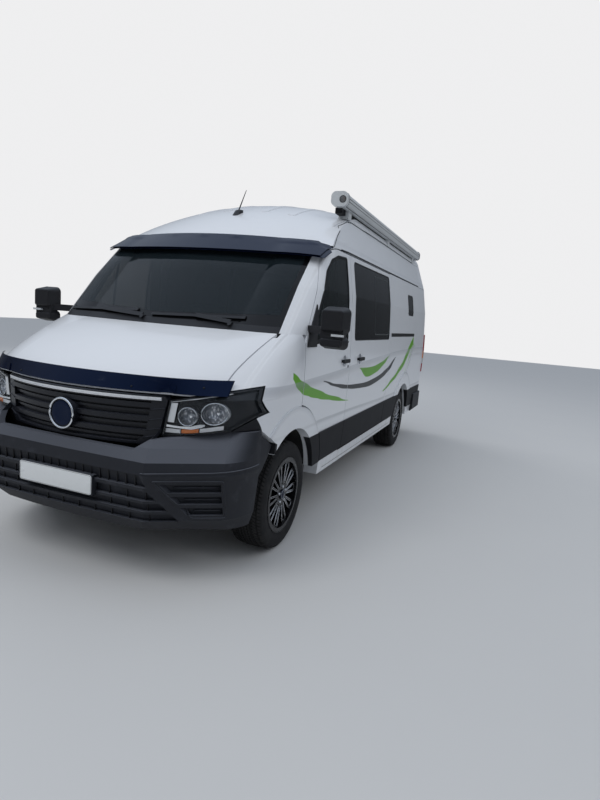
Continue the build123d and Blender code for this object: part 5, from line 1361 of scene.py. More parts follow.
@dataclass
class Headlamps:
    """What stands inside each headlamp, behind its clear cover."""

    shop: Shop
    bowls: Tuple[Point, ...] = ((0.692, 0.962, 0.050), (0.822, 0.985, 0.060))
    bezel_depth: float = 0.018
    rim_radius: float = 0.0032
    bulb_profile: Curve = ((0.0, 0.0135), (0.030, 0.0125), (0.036, 0.010), (0.038, 0.0))
    block: Tuple[Curve, Curve] = (((0.598, 1.030), (0.640, 1.034)), ((0.585, 0.925), (0.622, 0.925)))
    wave: Tuple[Curve, Curve] = (
        ((0.578, 0.910), (0.660, 0.908), (0.716, 0.912), (0.760, 0.926), (0.785, 0.926)),
        ((0.576, 0.898), (0.660, 0.897), (0.720, 0.896), (0.768, 0.908), (0.785, 0.918)))
    brow: Tuple[Curve, Curve] = (
        ((0.604, 1.040), (0.700, 1.062), (0.800, 1.084), (0.880, 1.102)),
        ((0.604, 1.034), (0.700, 1.055), (0.800, 1.077), (0.880, 1.096)))
    signal: Tuple[Pair, Pair] = ((0.574, 0.888), (0.868, 0.922))
    signal_drop: float = 0.022
    fields: Tuple[Tuple[float, float, str], ...] = (
        (0.0, 0.30, "clear_lens"), (0.32, 0.62, "amber_lens"), (0.64, 1.0, "clear_lens"))

    def patch(self, name: str, edges: Sequence[Sequence[Pair]], side: Side, depth: float, thick: float,
              finish: str) -> None:
        """Set one patch behind the cover, at a depth below its face."""
        edges = [side.mirror(edge) for edge in edges]
        self.shop.skin(f"{name}_{side.tag}", "headlamp_lenses", edges, -depth, thick, Look(finish, "lamp_chrome"))

    def build(self) -> None:
        """Fit both lamps."""
        for side in Side:
            self.patch("lamp_block", self.block, side, 0.014, 0.004, "lamp_white")
            self.patch("lamp_wave", self.wave, side, 0.013, 0.005, "bright_chrome")
            self.patch("lamp_brow", self.brow, side, 0.010, 0.004, "lamp_white")
            self.signals(side)
            rims = []
            for number, (x, z, radius) in enumerate(self.bowls):
                turns = [math.tau * k / 28 for k in range(28)]
                places = side.mirror([(x + radius * math.cos(t), z + radius * math.sin(t)) for t in turns])
                landed = self.shop.lay("headlamp_lenses", places, BACKWARD, -self.bezel_depth)
                rims.append([place for place, _ in landed])
                floor = self.shop.hit("headlamp_housings", (side.value * x, AHEAD_Y, z), BACKWARD)[0]
                self.shop.lathe(f"lamp_bulb_{number}_{side.tag}", self.bulb_profile, floor + Vector((0, 0.002, 0)),
                                FORWARD, CHROME, 20)
            self.shop.tube(f"lamp_rims_{side.tag}", rims, self.rim_radius, CHROME, True)

    def signals(self, side: Side) -> None:
        """The amber and clear fields along the lamp's foot, parted by dark bars."""
        (start_x, start_z), (end_x, end_z) = self.signal
        for number, (low, high, finish) in enumerate(self.fields):
            top = [(start_x + s * (end_x - start_x), start_z + s * s * (end_z - start_z)) for s in (low, high)]
            foot = [(x, z - self.signal_drop) for x, z in top]
            self.patch(f"lamp_field_{number}", (top, foot), side, 0.016, 0.004, finish)


@dataclass
class GrilleKit:
    """Ring, edge lines and mesh of the grille, and the dark plates beside it."""

    shop: Shop
    boss: Point = (0.0, -2.949, 0.915)
    ring_radius: float = 0.0835
    ring_tube: float = 0.0062
    dish: Curve = ((0.0, 0.071), (0.0025, 0.071), (0.0035, 0.067), (0.0015, 0.045), (0.0005, 0.0))
    block_lines: Tuple[Tuple[Pair, Pair], ...] = (
        ((0.500, 0.985), (0.578, 0.998)), ((0.492, 0.928), (0.566, 0.941)),
        ((0.484, 0.872), (0.555, 0.885)), ((0.466, 0.826), (0.545, 0.848)))
    liner: Curve = ((0.420, 0.670), (0.680, 0.670), (0.680, 0.850), (0.590, 0.885), (0.420, 0.885))
    liner_y: float = -2.760
    liner_thick: float = 0.004
    trim_z: float = 1.047
    rib_section: Pair = (0.0035, 0.016)
    rib_pitch: float = 0.064
    rib_half_span: float = 0.478
    rib_bottom: float = 0.806
    rib_top: float = 1.030
    rib_depth: float = 0.052

    def build(self) -> None:
        """Fit the grille."""
        shop = self.shop
        ring = circle(self.boss, self.ring_radius, FORWARD, 48)
        shop.tube("boss_ring", [ring], self.ring_tube, CHROME, True, 10)
        centre = (self.boss[0], self.boss[1] + 0.004, self.boss[2])
        shop.lathe("boss_disc", self.dish, centre, FORWARD, Look("smoked_acrylic", "dark_plastic"), 48)
        for side in Side:
            lines = [[place for place, _ in shop.lay("grille", side.mirror(line(start, end, 5)), BACKWARD, 0.001)]
                     for start, end in self.block_lines]
            shop.tube(f"grille_block_lines_{side.tag}", lines, 0.003, Look("grille_plastic", "dark_plastic"))
        shop.bars("grille_mesh", self.ribs(), SOFT_BLACK)
        for side in Side:
            outline = [(side.value * x, self.liner_y, z) for x, z in self.liner]
            shop.plate(f"nose_liner_{side.tag}", outline, (0.0, self.liner_thick, 0.0), SOFT_BLACK, 0.001)

    def ribs(self) -> List[Tuple[Point, Point]]:
        """Centres and sizes of the upright ribs behind the grille's bars, with none behind the ring."""
        rows = []
        height = self.rib_top - self.rib_bottom
        size = (*self.rib_section, height)
        count = int(self.rib_half_span / self.rib_pitch)
        for x in (k * self.rib_pitch for k in range(-count, count + 1)):
            found = self.shop.hit("grille_trim", (x, AHEAD_Y, self.trim_z), BACKWARD)
            if found is not None and abs(x) > self.ring_radius:
                rows.append(((x, found[0].y + self.rib_depth, self.rib_bottom + height / 2), size))
        return rows


@dataclass
class BumperKit:
    """Blank plate, sensors, ribs, blades and creases of the front bumper."""

    shop: Shop
    plate_half: float = 0.26
    plate_low: float = 0.5005
    plate_high: float = 0.6115
    plate_face: float = -2.9905
    plate_thick: float = 0.0022
    plate_round: float = 0.016
    screws: Tuple[Pair, Pair] = ((0.236, 0.556), (0.0, 0.588))
    screw_profile: Curve = ((0.0, 0.0065), (0.0015, 0.006), (0.0022, 0.0))
    sensors: Curve = ((0.335, 0.540), (0.812, 0.588))
    sensor_profile: Curve = ((-0.004, 0.014), (0.0015, 0.013), (0.0015, 0.011), (0.0008, 0.011), (0.002, 0.006),
                             (0.0024, 0.0))
    corner: Tuple[Point, ...] = ((0.990, -2.485, 0.872), (0.999, -2.400, 0.828), (1.001, -2.300, 0.770),
                                 (0.999, -2.335, 0.715), (0.995, -2.400, 0.640), (0.988, -2.485, 0.560))
    mesh_rows: Tuple[Tuple[float, float, float, float], ...] = (
        (0.597, 0.668, 0.575, 0.058), (0.520, 0.578, 0.610, 0.115), (0.456, 0.504, 0.650, 0.115),
        (0.392, 0.440, 0.690, 0.115))
    pockets: Curve = ((0.566, 0.618), (0.498, 0.546), (0.430, 0.478))
    frame_corners: Curve = ((0.622, 0.634), (0.922, 0.634), (0.922, 0.412), (0.770, 0.412))

    def build(self) -> None:
        """Fit the bumper."""
        self.plate()
        for side in Side:
            self.ends(side)
        self.mesh()
        for part in (self.louvres, self.creases):
            for side in Side:
                part(side)

    def plate(self) -> None:
        """The blank number plate with its border."""
        half, low, high = self.plate_half, self.plate_low, self.plate_high
        rim = rounded(((-half, low), (half, low), (half, high), (-half, high)), self.plate_round, 5, 1.0)
        outline = [(x, self.plate_face, z) for x, z in rim]
        self.shop.plate("front_plate", outline, (0.0, -self.plate_thick, 0.0), PLATE_WHITE, 0.0006)
        face, middle = self.plate_face - self.plate_thick, (low + high) / 2
        inset = [(x * 0.985, face - 0.0002, (z - middle) * 0.93 + middle) for x, z in rim]
        self.shop.tube("front_plate_border", [inset], 0.0007, BRACKET, True, 5)

    def ends(self, side: Side) -> None:
        """One side's plate screws, where the middle one counts as left, its sensors and its end piece."""
        shop, face = self.shop, self.plate_face - self.plate_thick
        for number, (x, z) in enumerate(self.screws if side is Side.LEFT else self.screws[:1]):
            shop.lathe(f"plate_screw_{number}_{side.tag}", self.screw_profile, (side.value * x, face, z), FORWARD,
                       PLATE_WHITE, 14)
        for number, spot in enumerate(self.sensors):
            place, normal = shop.lay("front_bumper", side.mirror([spot]), BACKWARD)[0]
            shop.lathe(f"park_sensor_{number}_{side.tag}", self.sensor_profile, place, normal, BUMPER_BLACK, 22)
        outline = [(side.value * x, y, z) for x, y, z in self.corner]
        shop.plate(f"bumper_end_{side.tag}", outline, (side.value * -0.010, 0.0, 0.0), BUMPER_BLACK, 0.002)

    def mesh(self) -> None:
        """Upright ribs in the bumper's level pockets."""
        rows = []
        for low, high, half, pitch in self.mesh_rows:
            middle = (low + high) / 2
            count = int(half / pitch)
            for x in (k * pitch for k in range(-count, count + 1)):
                found = self.shop.hit("front_bumper", (x, AHEAD_Y, middle), BACKWARD)
                clear = abs(x) > self.plate_half + 0.01 or low > self.plate_high - 0.02 or high < self.plate_low
                if found is not None and clear:
                    rows.append(((x, found[0].y - 0.001, middle), (0.0045, 0.010, high - low)))
        self.shop.bars("bumper_ribs", rows, SOFT_BLACK)

    def louvres(self, side: Side) -> None:
        """A thin level blade in each corner pocket."""
        rows = []
        for low, high in self.pockets:
            start = 0.676 + (0.618 - high) * 0.54
            middle = (low + high) / 2
            places = side.mirror(line((start + 0.02, middle), (0.895, middle), 6))
            rows.append([place for place, _ in self.shop.lay("front_bumper", places, BACKWARD, 0.006)])
        self.shop.tube(f"louvre_blades_{side.tag}", rows, 0.0045, BUMPER_BLACK)

    def creases(self, side: Side) -> None:
        """The raised line round the corner, and the frame of its louvres."""
        shop = self.shop
        path = shop.lay("front_bumper", side.mirror(line((0.574, 0.676), (0.880, 0.682), 12)), BACKWARD)
        path += shop.lay("front_bumper", line((-2.735, 0.686), (-2.485, 0.690), 8), side.inward)
        shop.strip(f"bumper_crease_{side.tag}", path, 0.012, 0.0055, BUMPER_BLACK)
        edge = shop.lay("front_bumper", side.mirror(rounded(self.frame_corners, 0.012, 4, 0.05)), BACKWARD)
        shop.strip(f"louvre_frame_{side.tag}", edge, 0.012, 0.005, BUMPER_BLACK, True)


@dataclass
class WindShields:
    """The visor's lip and fixings, the bonnet deflector's fixings and its folded part."""

    shop: Shop
    visor_half: float = 0.925
    visor_foot: float = 1.979
    knob_x: Tuple[float, ...] = (-0.79, -0.27, 0.27, 0.79)
    knob_profile: Curve = ((-0.010, 0.005), (0.0, 0.005), (0.001, 0.010), (0.006, 0.0095), (0.009, 0.0))
    stud_profile: Curve = ((-0.004, 0.006), (0.001, 0.006), (0.004, 0.0045), (0.005, 0.0))
    deflector_studs: Curve = ((-0.76, 1.125), (-0.40, 1.105), (0.40, 1.105), (0.76, 1.125))

    def build(self) -> None:
        """Fit both shields."""
        shop, stud = self.shop, Look("soft_black", "gloss_black")
        across = [-self.visor_half + 2 * self.visor_half * k / 24 for k in range(25)]
        top = [(x, 2.110 - 0.016 * x * x - 0.10 * max(0.0, abs(x) - 0.78)) for x in across]
        foot = [(x, self.visor_foot) for x in across]
        shop.skin("visor_lip", "sun_visor+roof", (top, foot), 0.006, 0.008, SMOKED, 2, 9)
        for number, x in enumerate(self.knob_x):
            for row, (z, profile) in enumerate(((2.094, self.knob_profile), (2.050, self.stud_profile))):
                place, normal = shop.lay("sun_visor+roof", [(x, z)], BACKWARD, 0.003)[0]
                shop.lathe(f"visor_fixing_{number}_{row}", profile, place, normal, stud, 16)
        for side in Side:
            for number, (start, end) in enumerate(((0.544, 0.590), (0.590, 0.632))):
                edges = [side.mirror(((start, z), (end, z))) for z in (1.128, 1.086)]
                shop.skin(f"deflector_fold_{number}_{side.tag}", "bonnet_deflector", edges, 0.0002, 0.005,
                          SMOKED.on("bonnet"))
        for number, spot in enumerate(self.deflector_studs):
            place, normal = shop.lay("bonnet_deflector", [spot], BACKWARD)[0]
            shop.lathe(f"deflector_fixing_{number}", self.stud_profile, place, normal, stud.on("bonnet"), 16)


# Sides and glass


@dataclass
class SideTrim:
    """Window rubbers, gutter strip, a strip of painted shadow along the sill, mirror glass and door details."""

    shop: Shop
    door_window: Curve = ((-1.805, 1.385), (-1.450, 1.890), (-1.330, 1.985), (-1.170, 2.028), (-0.945, 2.040),
                          (-0.945, 1.385))
    slide_window: Curve = ((-0.755, 1.385), (-0.755, 2.040), (0.585, 2.040), (0.585, 1.385))
    slide_frame: Curve = ((-0.05, 1.44), (-0.05, 1.985), (0.535, 1.985), (0.535, 1.44))
    quarter_window: Curve = ((1.610, 1.675), (1.610, 1.930), (1.960, 1.930), (1.960, 1.675))
    divider_y: float = -1.405
    lock_profile: Curve = ((-0.003, 0.012), (0.002, 0.012), (0.003, 0.010), (0.0022, 0.0))
    gutter: Curve = ((-1.395, 2.010), (-1.300, 2.050), (-1.150, 2.083), (-0.90, 2.092), (2.88, 2.092))
    seam: Curve = ((-1.29, 2.070), (-1.10, 2.190), (-0.88, 2.303), (-0.666, 2.372), (-0.516, 2.392), (0.40, 2.398),
                   (2.80, 2.398))
    mirror_x: float = 1.203
    mirror_face: float = -1.8755
    panes: Tuple[Tuple[str, float, float, float], ...] = (
        ("upper", 0.166, 1.463, 1.617), ("lower", 0.158, 1.368, 1.432))
    ledge: Tuple[Curve, Curve] = (((1.150, 1.462), (1.215, 1.463), (1.288, 1.462)),
                                  ((1.150, 1.453), (1.215, 1.449), (1.288, 1.448)))

    def build(self) -> None:
        """Fit both sides."""
        for side in Side:
            self.door(side)
            self.mirror(side)
            self.walls(side)

    def door(self, side: Side) -> None:
        """The front door's rubbers, divider and lock."""
        shop, way, tag = self.shop, side.inward, side.tag
        body, glass = f"front_door_{tag}", f"door_glass_{tag}"
        seal = shop.lay(glass, rounded(grown(self.door_window, -0.005), 0.020), way)
        shop.strip(f"door_window_rubber_{tag}", seal, 0.022, 0.0048, RUBBER.on(body), True)
        waist = shop.lay(body, line((-1.800, 1.378), (-0.935, 1.378), 12), way)
        shop.strip(f"door_waist_rubber_{tag}", waist, 0.014, 0.005, RUBBER.on(body))
        divider = shop.lay(glass, line((self.divider_y, 1.40), (self.divider_y + 0.012, 1.925), 8), way, -0.012)
        shop.strip(f"door_divider_{tag}", divider, 0.026, 0.004, BRACKET.on(body))
        place, normal = shop.lay(body, [(-0.905, 1.175)], way)[0]
        shop.lathe(f"door_lock_{tag}", self.lock_profile, place, normal, SOFT_BLACK.on(body), 20)

    def mirror(self, side: Side) -> None:
        """Both mirror glasses, the ledge between them and the repeater in the mirror's shell."""
        shop, body, tag = self.shop, f"front_door_{side.tag}", side.tag
        for name, width, low, high in self.panes:
            left, right = self.mirror_x - width / 2, self.mirror_x + width / 2
            rim = rounded(((left, low), (right, low), (right, high), (left, high)), 0.026, 5, 1.0)
            outline = [(x, self.mirror_face, z) for x, z in side.mirror(rim)]
            shop.plate(f"mirror_glass_{name}_{tag}", outline, (0.0, 0.003, 0.0),
                       Look("mirror_silver", "lamp_chrome", body), 0.0005)
        edges = [side.mirror(edge) for edge in self.ledge]
        shop.skin(f"mirror_ledge_{tag}", f"mirror_{tag}", edges, 0.0005, 0.004, SOFT_BLACK.on(body))
        shop.bars(f"mirror_repeater_{tag}", [((side.value * 1.246, -1.966, 1.4475), (0.078, 0.026, 0.014))],
                  Look("clear_lens", "lamp_chrome", body))

    def walls(self, side: Side) -> None:
        """The gutter strip, the roof's seam, a grey strip of painted shadow along the sill and the side windows'
        edges.
        """
        shop, way, tag = self.shop, side.inward, side.tag
        shop.strip(f"gutter_rubber_{tag}", shop.lay("roof", chain(self.gutter, 9), way), 0.013, 0.004, RUBBER)
        shop.strip(f"roof_seam_{tag}", shop.lay("roof", chain(self.seam, 7), way), 0.007, 0.0022, RUBBER)
        # Painted shadow: a thin grey strip along the sill stands for the shade in its groove.
        sill = shop.lay(f"side_wall_{tag}", line((-1.27, 0.392), (1.10, 0.392), 16), way)
        shop.strip(f"sill_line_{tag}", sill, 0.006, 0.0012, Look("sill_shadow", "white"))
        windows = {"slide": self.slide_window}
        if side is Side.LEFT:
            windows["quarter"] = self.quarter_window
        for name, corners in windows.items():
            rim = shop.lay("side_glass", rounded(grown(corners, -0.004), 0.045), way)
            shop.strip(f"{name}_window_rubber_{tag}", rim, 0.012, 0.0036, RUBBER, True)
        inner = shop.lay("side_glass", rounded(self.slide_frame, 0.030), way)
        shop.strip(f"slide_window_frame_{tag}", inner, 0.012, 0.0015, Look("frame_grey", "privacy_glass"), True)


# Roof


@dataclass
class RoofKit:
    """The awning's lines, gear, cap seams and a black filler under it, which is partly its bracket and partly
    painted shadow.
    """

    shop: Shop
    start: float = -0.850
    length: float = 3.500
    centre_x: float = 0.800
    centre_z: float = 2.526
    half_width: float = 0.068
    half_height: float = 0.055
    hub_profile: Curve = ((-0.004, 0.024), (0.002, 0.022), (0.004, 0.012), (0.003, 0.0))
    blocks: int = 24

    def build(self) -> None:
        """Fit the awning."""
        shop, length = self.shop, self.length
        gear_x, gear_z = self.centre_x + 0.030, self.centre_z - 0.004
        ring = circle((gear_x, self.start - 0.0005, gear_z), 0.026, BACKWARD, 28)
        shop.tube("awning_gear_ring", [ring], 0.0038, AWNING_LINE, True)
        shop.lathe("awning_gear_hub", self.hub_profile, (gear_x, self.start, gear_z), FORWARD,
                   Look("exhaust_steel", "awning_case"), 24)
        spots = ((self.half_width, -0.014), (self.half_width, 0.010), (0.045, -self.half_height),
                 (-0.02, self.half_height))
        stops = [self.start + 0.05 + k * (length - 0.1) / 8 for k in range(9)]
        lines = [[(self.centre_x + x, y, self.centre_z + z) for y in stops] for x, z in spots]
        shop.tube("awning_lines", lines, 0.0022, AWNING_LINE, sides=5)
        # A dark filler between the case and the roof: partly the awning's black bracket, partly painted shadow
        # under the case.
        pitch = (length - 0.25) / self.blocks
        rows = [((0.767, self.start + 0.10 + (k + 0.5) * pitch, 2.452), (0.058, pitch + 0.001, 0.048))
                for k in range(self.blocks)]
        shop.bars("awning_filler", rows, Look("trim_rubber", "awning_case"))
        for number, y in enumerate((self.start + 0.046, self.start + length - 0.046)):
            shop.tube(f"awning_cap_seam_{number}", [self.cap(y)], 0.0018, AWNING_LINE, True, 5)

    def cap(self, y: float) -> List[Point]:
        """Points round the case's rounded section, just outside it."""
        rim = []
        for turn in (math.tau * k / 48 for k in range(48)):
            across, rise = (math.copysign(abs(part) ** 0.62, part) for part in (math.cos(turn), math.sin(turn)))
            rim.append((self.centre_x + (self.half_width + 0.0045) * across, y,
                        self.centre_z + (self.half_height + 0.0045) * rise))
        return rim


# Rear


@dataclass
class RearKit:
    """Handle, lamp, creases and window rubbers at the back."""

    shop: Shop
    window: Curve = ((0.110, 1.385), (0.790, 1.385), (0.765, 2.000), (0.110, 2.000))
    handle_x: float = -0.075
    grip: Curve = ((0.004, 1.190), (0.026, 1.178), (0.030, 1.130), (0.026, 1.085), (0.004, 1.074))
    lock_profile: Curve = ((0.0, 0.012), (0.003, 0.012), (0.004, 0.009), (0.003, 0.0))

    def build(self) -> None:
        """Fit the rear."""
        shop = self.shop
        for side in Side:
            tag, body = side.tag, f"rear_door_{side.tag}"
            corners = side.mirror(grown(self.window, -0.004))
            rim = shop.lay(f"rear_glass_{tag}", rounded(corners, 0.045), FORWARD)
            shop.strip(f"rear_window_rubber_{tag}", rim, 0.012, 0.0036, RUBBER.on(body), True)
            groove = shop.lay(body, side.mirror(line((0.10, 1.180), (0.82, 1.180), 10)), FORWARD)
            shop.strip(f"rear_door_crease_{tag}", groove, 0.012, 0.003, Look("body_paint", "white", body))
        self.handle()
        lamp = shop.lay("roof", line((-0.16, 2.440), (0.16, 2.440), 9), FORWARD)
        shop.strip("high_brake_lamp", lamp, 0.022, 0.008, Look("red_lens", "lamp_red"))

    def handle(self) -> None:
        """The pull handle on the right rear door, with its dark recess plate and lock."""
        shop, body, x = self.shop, "rear_door_right", self.handle_x
        face = shop.lay(body, [(x, 1.12)], FORWARD)[0][0].y
        shop.box("rear_handle_plate", (-0.112, face - 0.002, 1.035), (-0.038, face + 0.006, 1.215),
                 SOFT_BLACK.on(body), 0.004)
        grip = [(x, face + out, z) for out, z in self.grip]
        shop.tube("rear_handle_grip", [grip], 0.0085, SOFT_BLACK.on(body), sides=10)
        shop.lathe("rear_door_lock", self.lock_profile, (x, face + 0.006, 1.052), BACKWARD,
                   Look("exhaust_steel", "dark_plastic", body), 20)


# Wheels


@dataclass
class Wheels:
    """Treaded tyres, bright spoke edges, nuts, caps and valves of the four wheels."""

    shop: Shop
    face: float = 0.100
    spokes: int = 10
    edge: Curve = ((0.078, 0.0148), (0.196, 0.0305), (0.226, 0.0205))
    hole: Curve = ((0.090, 0.0052), (0.190, 0.0195), (0.208, 0.0138))
    line_radius: float = 0.0024
    steps: int = 160
    crown: float = 0.3648
    groove: float = 0.3575
    notch_depth: float = 0.0055
    side_wall: Curve = ((0.1165, 0.3350), (0.1195, 0.3250), (0.1212, 0.3120), (0.1222, 0.3040), (0.1225, 0.2960),
                        (0.1216, 0.2860), (0.1196, 0.2740), (0.1180, 0.2680), (0.1180, 0.2655), (0.1150, 0.2580),
                        (0.1085, 0.2525), (0.1065, 0.2330))
    cap: Curve = ((0.004, 0.034), (0.0075, 0.0335), (0.009, 0.030), (0.0086, 0.026), (0.0105, 0.020), (0.0115, 0.0))
    nut: Curve = ((-0.004, 0.0095), (0.006, 0.0095), (0.009, 0.008), (0.010, 0.0))
    nut_circle: float = 0.054
    nuts: int = 5
    stem: Curve = ((0.0, 0.004), (0.020, 0.0035), (0.021, 0.0045), (0.033, 0.0045), (0.034, 0.003))

    def build(self) -> None:
        """Fit all four wheels."""
        for axle in Axle:
            for side in Side:
                tag = f"{axle.tag}_{side.tag}"
                self.tyre(axle, side, tag)
                self.spoke_lines(axle, side, tag)
                self.hub(axle, side, tag)

    def tyre_profile(self, notch: bool) -> List[Pair]:
        """Half of the tyre's section as distance from its middle and radius, from the crown to the bead."""
        drop = self.notch_depth if notch else 0.0
        top, groove = self.crown, self.groove
        return [(0.0, top), (0.0165, top), (0.0185, groove), (0.0265, groove), (0.0285, top - 0.0002),
                (0.0520, top - 0.0008), (0.0540, groove), (0.0620, groove), (0.0640, top - 0.0018 - drop * 0.3),
                (0.0900, top - 0.0040 - drop), (0.1040, top - 0.0100 - drop),
                (0.1120, top - 0.0200 - drop * 0.6), *self.side_wall]

    def tyre(self, axle: Axle, side: Side, tag: str) -> None:
        """Turn one tyre with grooves round it and notched shoulders."""
        points: List[Point] = []
        for k in range(self.steps):
            half = self.tyre_profile(k % 4 == 0)
            turn = math.tau * k / self.steps
            for along, radius in [(-a, r) for a, r in reversed(half[1:])] + half:
                skew = 0.010 * min(abs(along) / 0.09, 1.0) if radius > 0.345 else 0.0
                angle = turn + math.copysign(skew, along)
                points.append((side.value * WHEEL_X + along, axle.value + radius * math.sin(angle),
                               WHEEL_Z + radius * math.cos(angle)))
        faces = ring_faces(self.steps, len(points) // self.steps, looped=True)
        look = Look(f"tyre_rubber_{axle.tag}", "tyre_rubber", f"wheel_{tag}")
        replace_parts(self.shop.turned(f"treaded_tyre_{tag}", points, faces, look, 0.5), f"tyre_{tag}")

    def spoke_lines(self, axle: Axle, side: Side, tag: str) -> None:
        """Bright machined edges along every spoke."""
        out_x = side.value * (WHEEL_X + self.face - 0.0006)
        edges, holes = [], []
        for k in range(self.spokes):
            turn = math.tau * k / self.spokes
            cos, sin = math.cos(turn), math.sin(turn)

            def trace(outline: Sequence[Pair], sign: float) -> List[Vector]:
                """One side of an outline on the wheel's face, turned with the spoke."""
                return [Vector((out_x, axle.value + out * cos - sign * half * sin,
                                WHEEL_Z + out * sin + sign * half * cos)) for out, half in outline]

            edges += [trace(self.edge, 1.0), trace(self.edge, -1.0)]
            holes.append(trace(self.hole, 1.0) + trace(self.hole[::-1], -1.0))
        look = SPOKE_EDGE.on(f"wheel_{tag}")
        self.shop.tube(f"spoke_edges_{tag}", edges, self.line_radius, look, sides=5)
        self.shop.tube(f"spoke_inner_edges_{tag}", holes, self.line_radius * 0.8, look, True, 5)

    def hub(self, axle: Axle, side: Side, tag: str) -> None:
        """The plain centre cap, the nuts and the valve, and the rim's outer line."""
        shop, body, sign, y = self.shop, f"wheel_{tag}", side.value, axle.value
        way = (float(sign), 0.0, 0.0)
        out_x = sign * (WHEEL_X + self.face)
        shop.lathe(f"wheel_cap_{tag}", self.cap, (out_x, y, WHEEL_Z), way,
                   Look("smoked_acrylic", "rim_alloy", body), 36)
        ring = circle((out_x + sign * 0.0088, y, WHEEL_Z), 0.0285, way, 36)
        shop.tube(f"wheel_cap_ring_{tag}", [ring], 0.0011, SPOKE_EDGE.on(body), True, 5)
        for k in range(self.nuts):
            turn = math.tau * (k + 0.25) / self.nuts
            centre = (out_x, y + self.nut_circle * math.cos(turn), WHEEL_Z + self.nut_circle * math.sin(turn))
            shop.lathe(f"wheel_nut_{tag}_{k}", self.nut, centre, way, Look("nut_chrome", "rim_alloy", body), 6)
        shop.lathe(f"wheel_valve_{tag}", self.stem, (out_x - sign * 0.022, y + 0.1975, WHEEL_Z + 0.064), way,
                   Look("trim_rubber", "rim_alloy", body), 10)
        lip = circle((sign * (WHEEL_X + 0.1165), y, WHEEL_Z), 0.2495, way, 72)
        shop.tube(f"rim_lip_line_{tag}", [lip], 0.0018, Look("black_alloy", "rim_alloy", body), True, 5)


# Inside the cab


@dataclass
class Seats:
    """Two stuffed seats in place of the plain cushion solids."""

    shop: Shop
    seat_x: float = 0.430
    seat_y: float = -1.120
    base_top: float = 0.830
    width: float = 0.500
    depth: float = 0.520
    thick: float = 0.130
    back_height: float = 0.640
    back_thick: float = 0.120
    rake: float = math.radians(12.0)
    head: Point = (0.280, 0.200, 0.090)

    def build(self) -> None:
        """Make both seats."""
        lean = Matrix.Rotation(-self.rake, 4, "X") @ Matrix.Rotation(math.radians(90.0), 4, "X")
        up = Vector((0.0, math.sin(self.rake), math.cos(self.rake)))
        for side in Side:
            x = side.value * self.seat_x
            seat = Matrix.Translation((x, self.seat_y, self.base_top + self.thick / 2))
            foot = Vector((x, self.seat_y + 0.190, self.base_top + self.thick))
            back = Matrix.Translation(foot + up * self.back_height / 2) @ lean
            head = Matrix.Translation(foot + up * (self.back_height + self.head[1] / 2)) @ lean
            back_size = (self.width - 0.020, self.back_height, self.back_thick)
            for name, size, place, crown, channels in (
                    ("cushion", (self.width, self.depth, self.thick), seat, 0.018, 4),
                    ("back", back_size, back, 0.016, 5), ("headrest", self.head, head, 0.010, 1)):
                pad = self.shop.pad(f"seat_{name}_{side.tag}", size, place, SEAT_CLOTH, crown, channels)
                if side is Side.LEFT:
                    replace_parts(pad, "cushions")


@dataclass
class Curtains:
    """The drawn-back curtain behind each front door, hanging in folds."""

    shop: Shop
    middle_x: float = 0.850
    from_y: float = -1.080
    to_y: float = -0.940
    low: float = 1.386
    high: float = 2.110
    depth: float = 0.0048
    folds: int = 5
    fold_cells: int = 12
    rows: int = 18
    cloth: float = 0.0010

    def build(self) -> None:
        """Hang both curtains."""
        columns = self.folds * self.fold_cells
        for side in Side:
            points: List[Point] = []
            for layer in (0.5, -0.5):
                for z in (self.low + (self.high - self.low) * j / self.rows for j in range(self.rows + 1)):
                    sway = 0.0008 * math.sin(5.0 * z + side.value)
                    for share in (i / columns for i in range(columns + 1)):
                        wave = math.cos(math.tau * self.folds * share + 0.8 * math.sin(2.1 * z))
                        x = self.middle_x + self.depth * wave + layer * self.cloth
                        points.append((side.value * x, self.from_y + (self.to_y - self.from_y) * share + sway, z))
            made = self.shop.piece(f"curtain_{side.tag}", points, shell_faces(self.rows + 1, columns + 1),
                                   Look("curtain_cloth", "curtain_cloth"), smooth=True)
            self.high - self.low
            if side is Side.LEFT:
                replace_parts(made, "curtains")


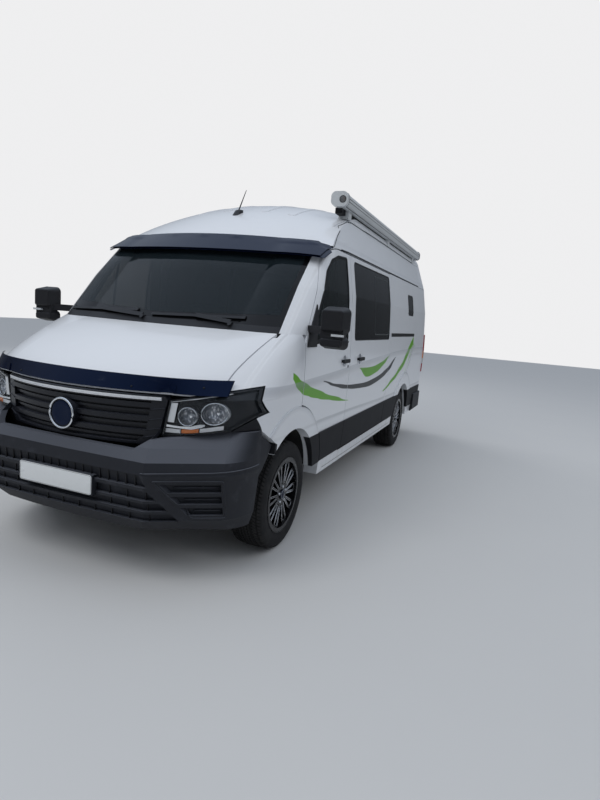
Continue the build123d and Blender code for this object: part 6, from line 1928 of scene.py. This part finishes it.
@dataclass
class CabTrim:
    """Instrument hood, vents, screen, cab visors and the steering wheel's trim."""

    shop: Shop
    dash_face: float = -1.482
    vents: Curve = ((-0.70, 1.245), (-0.12, 1.245), (0.12, 1.245), (0.70, 1.245))
    wheel_centre: Point = (-0.400, -1.350, 1.290)
    rake: float = math.radians(55.0)
    boss_profile: Curve = ((0.0, 0.058), (0.006, 0.054), (0.010, 0.040), (0.012, 0.0))

    def build(self) -> None:
        """Fit the cab."""
        shop, face = self.shop, self.dash_face
        rows = []
        for x, z in self.vents:
            shop.box(f"dash_vent_{x:.2f}".replace("-", "m"), (x - 0.055, face - 0.006, z - 0.032),
                     (x + 0.055, face + 0.008, z + 0.032), Look("soft_black", "dash_plastic"), 0.006)
            rows += [((x, face + 0.009, z - 0.021 + k * 0.014), (0.094, 0.006, 0.003)) for k in range(4)]
        shop.bars("dash_vent_blades", rows, DASH)
        shop.box("dash_screen", (-0.098, face - 0.004, 1.075), (0.098, face + 0.010, 1.190),
                 Look("smoked_acrylic", "dash_plastic"), 0.005)
        hood = [(-0.400 + 0.150 * math.cos(turn), -1.560, 1.330 + 0.070 * math.sin(turn))
                for turn in (math.pi * k / 12 for k in range(13))]
        shop.plate("instrument_hood", hood, (0.0, 0.110, 0.0), DASH, 0.006)
        for side in Side:
            x = side.value * 0.40
            shop.box(f"cab_visor_{side.tag}", (x - 0.20, -1.500, 1.978), (x + 0.20, -1.330, 1.992),
                     Look("lining_cloth", "dash_plastic"), 0.006)
        axis = Vector((0.0, math.cos(self.rake), math.sin(self.rake)))
        centre = Vector(self.wheel_centre) + axis * 0.0088
        shop.lathe("steering_boss", self.boss_profile, centre, axis,
                   Look("soft_black", "dash_plastic", "steering_wheel"), 36)
        stitch = circle(centre - axis * 0.0088 + axis * 0.0149, 0.175, axis, 48)
        shop.tube("steering_stitch", [stitch], 0.0012, DASH.on("steering_wheel"), True, 5)


def main() -> None:
    """Build the studio, dress the nodes and add the pieces."""
    logging.basicConfig(level=logging.INFO)
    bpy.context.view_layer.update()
    Studio().build()
    finishes = Finishes()
    Dresser(finishes).dress()
    shop = Shop(finishes)
    LOG.info("dressed %d nodes", len(frame["nodes"]))
    for maker in (Headlamps, GrilleKit, BumperKit, WindShields, SideTrim, RoofKit, RearKit, Wheels, Seats, Curtains,
                  CabTrim):
        maker(shop).build()
        LOG.info("fitted %s", maker.__name__)


if __name__ == "__main__":
    main()
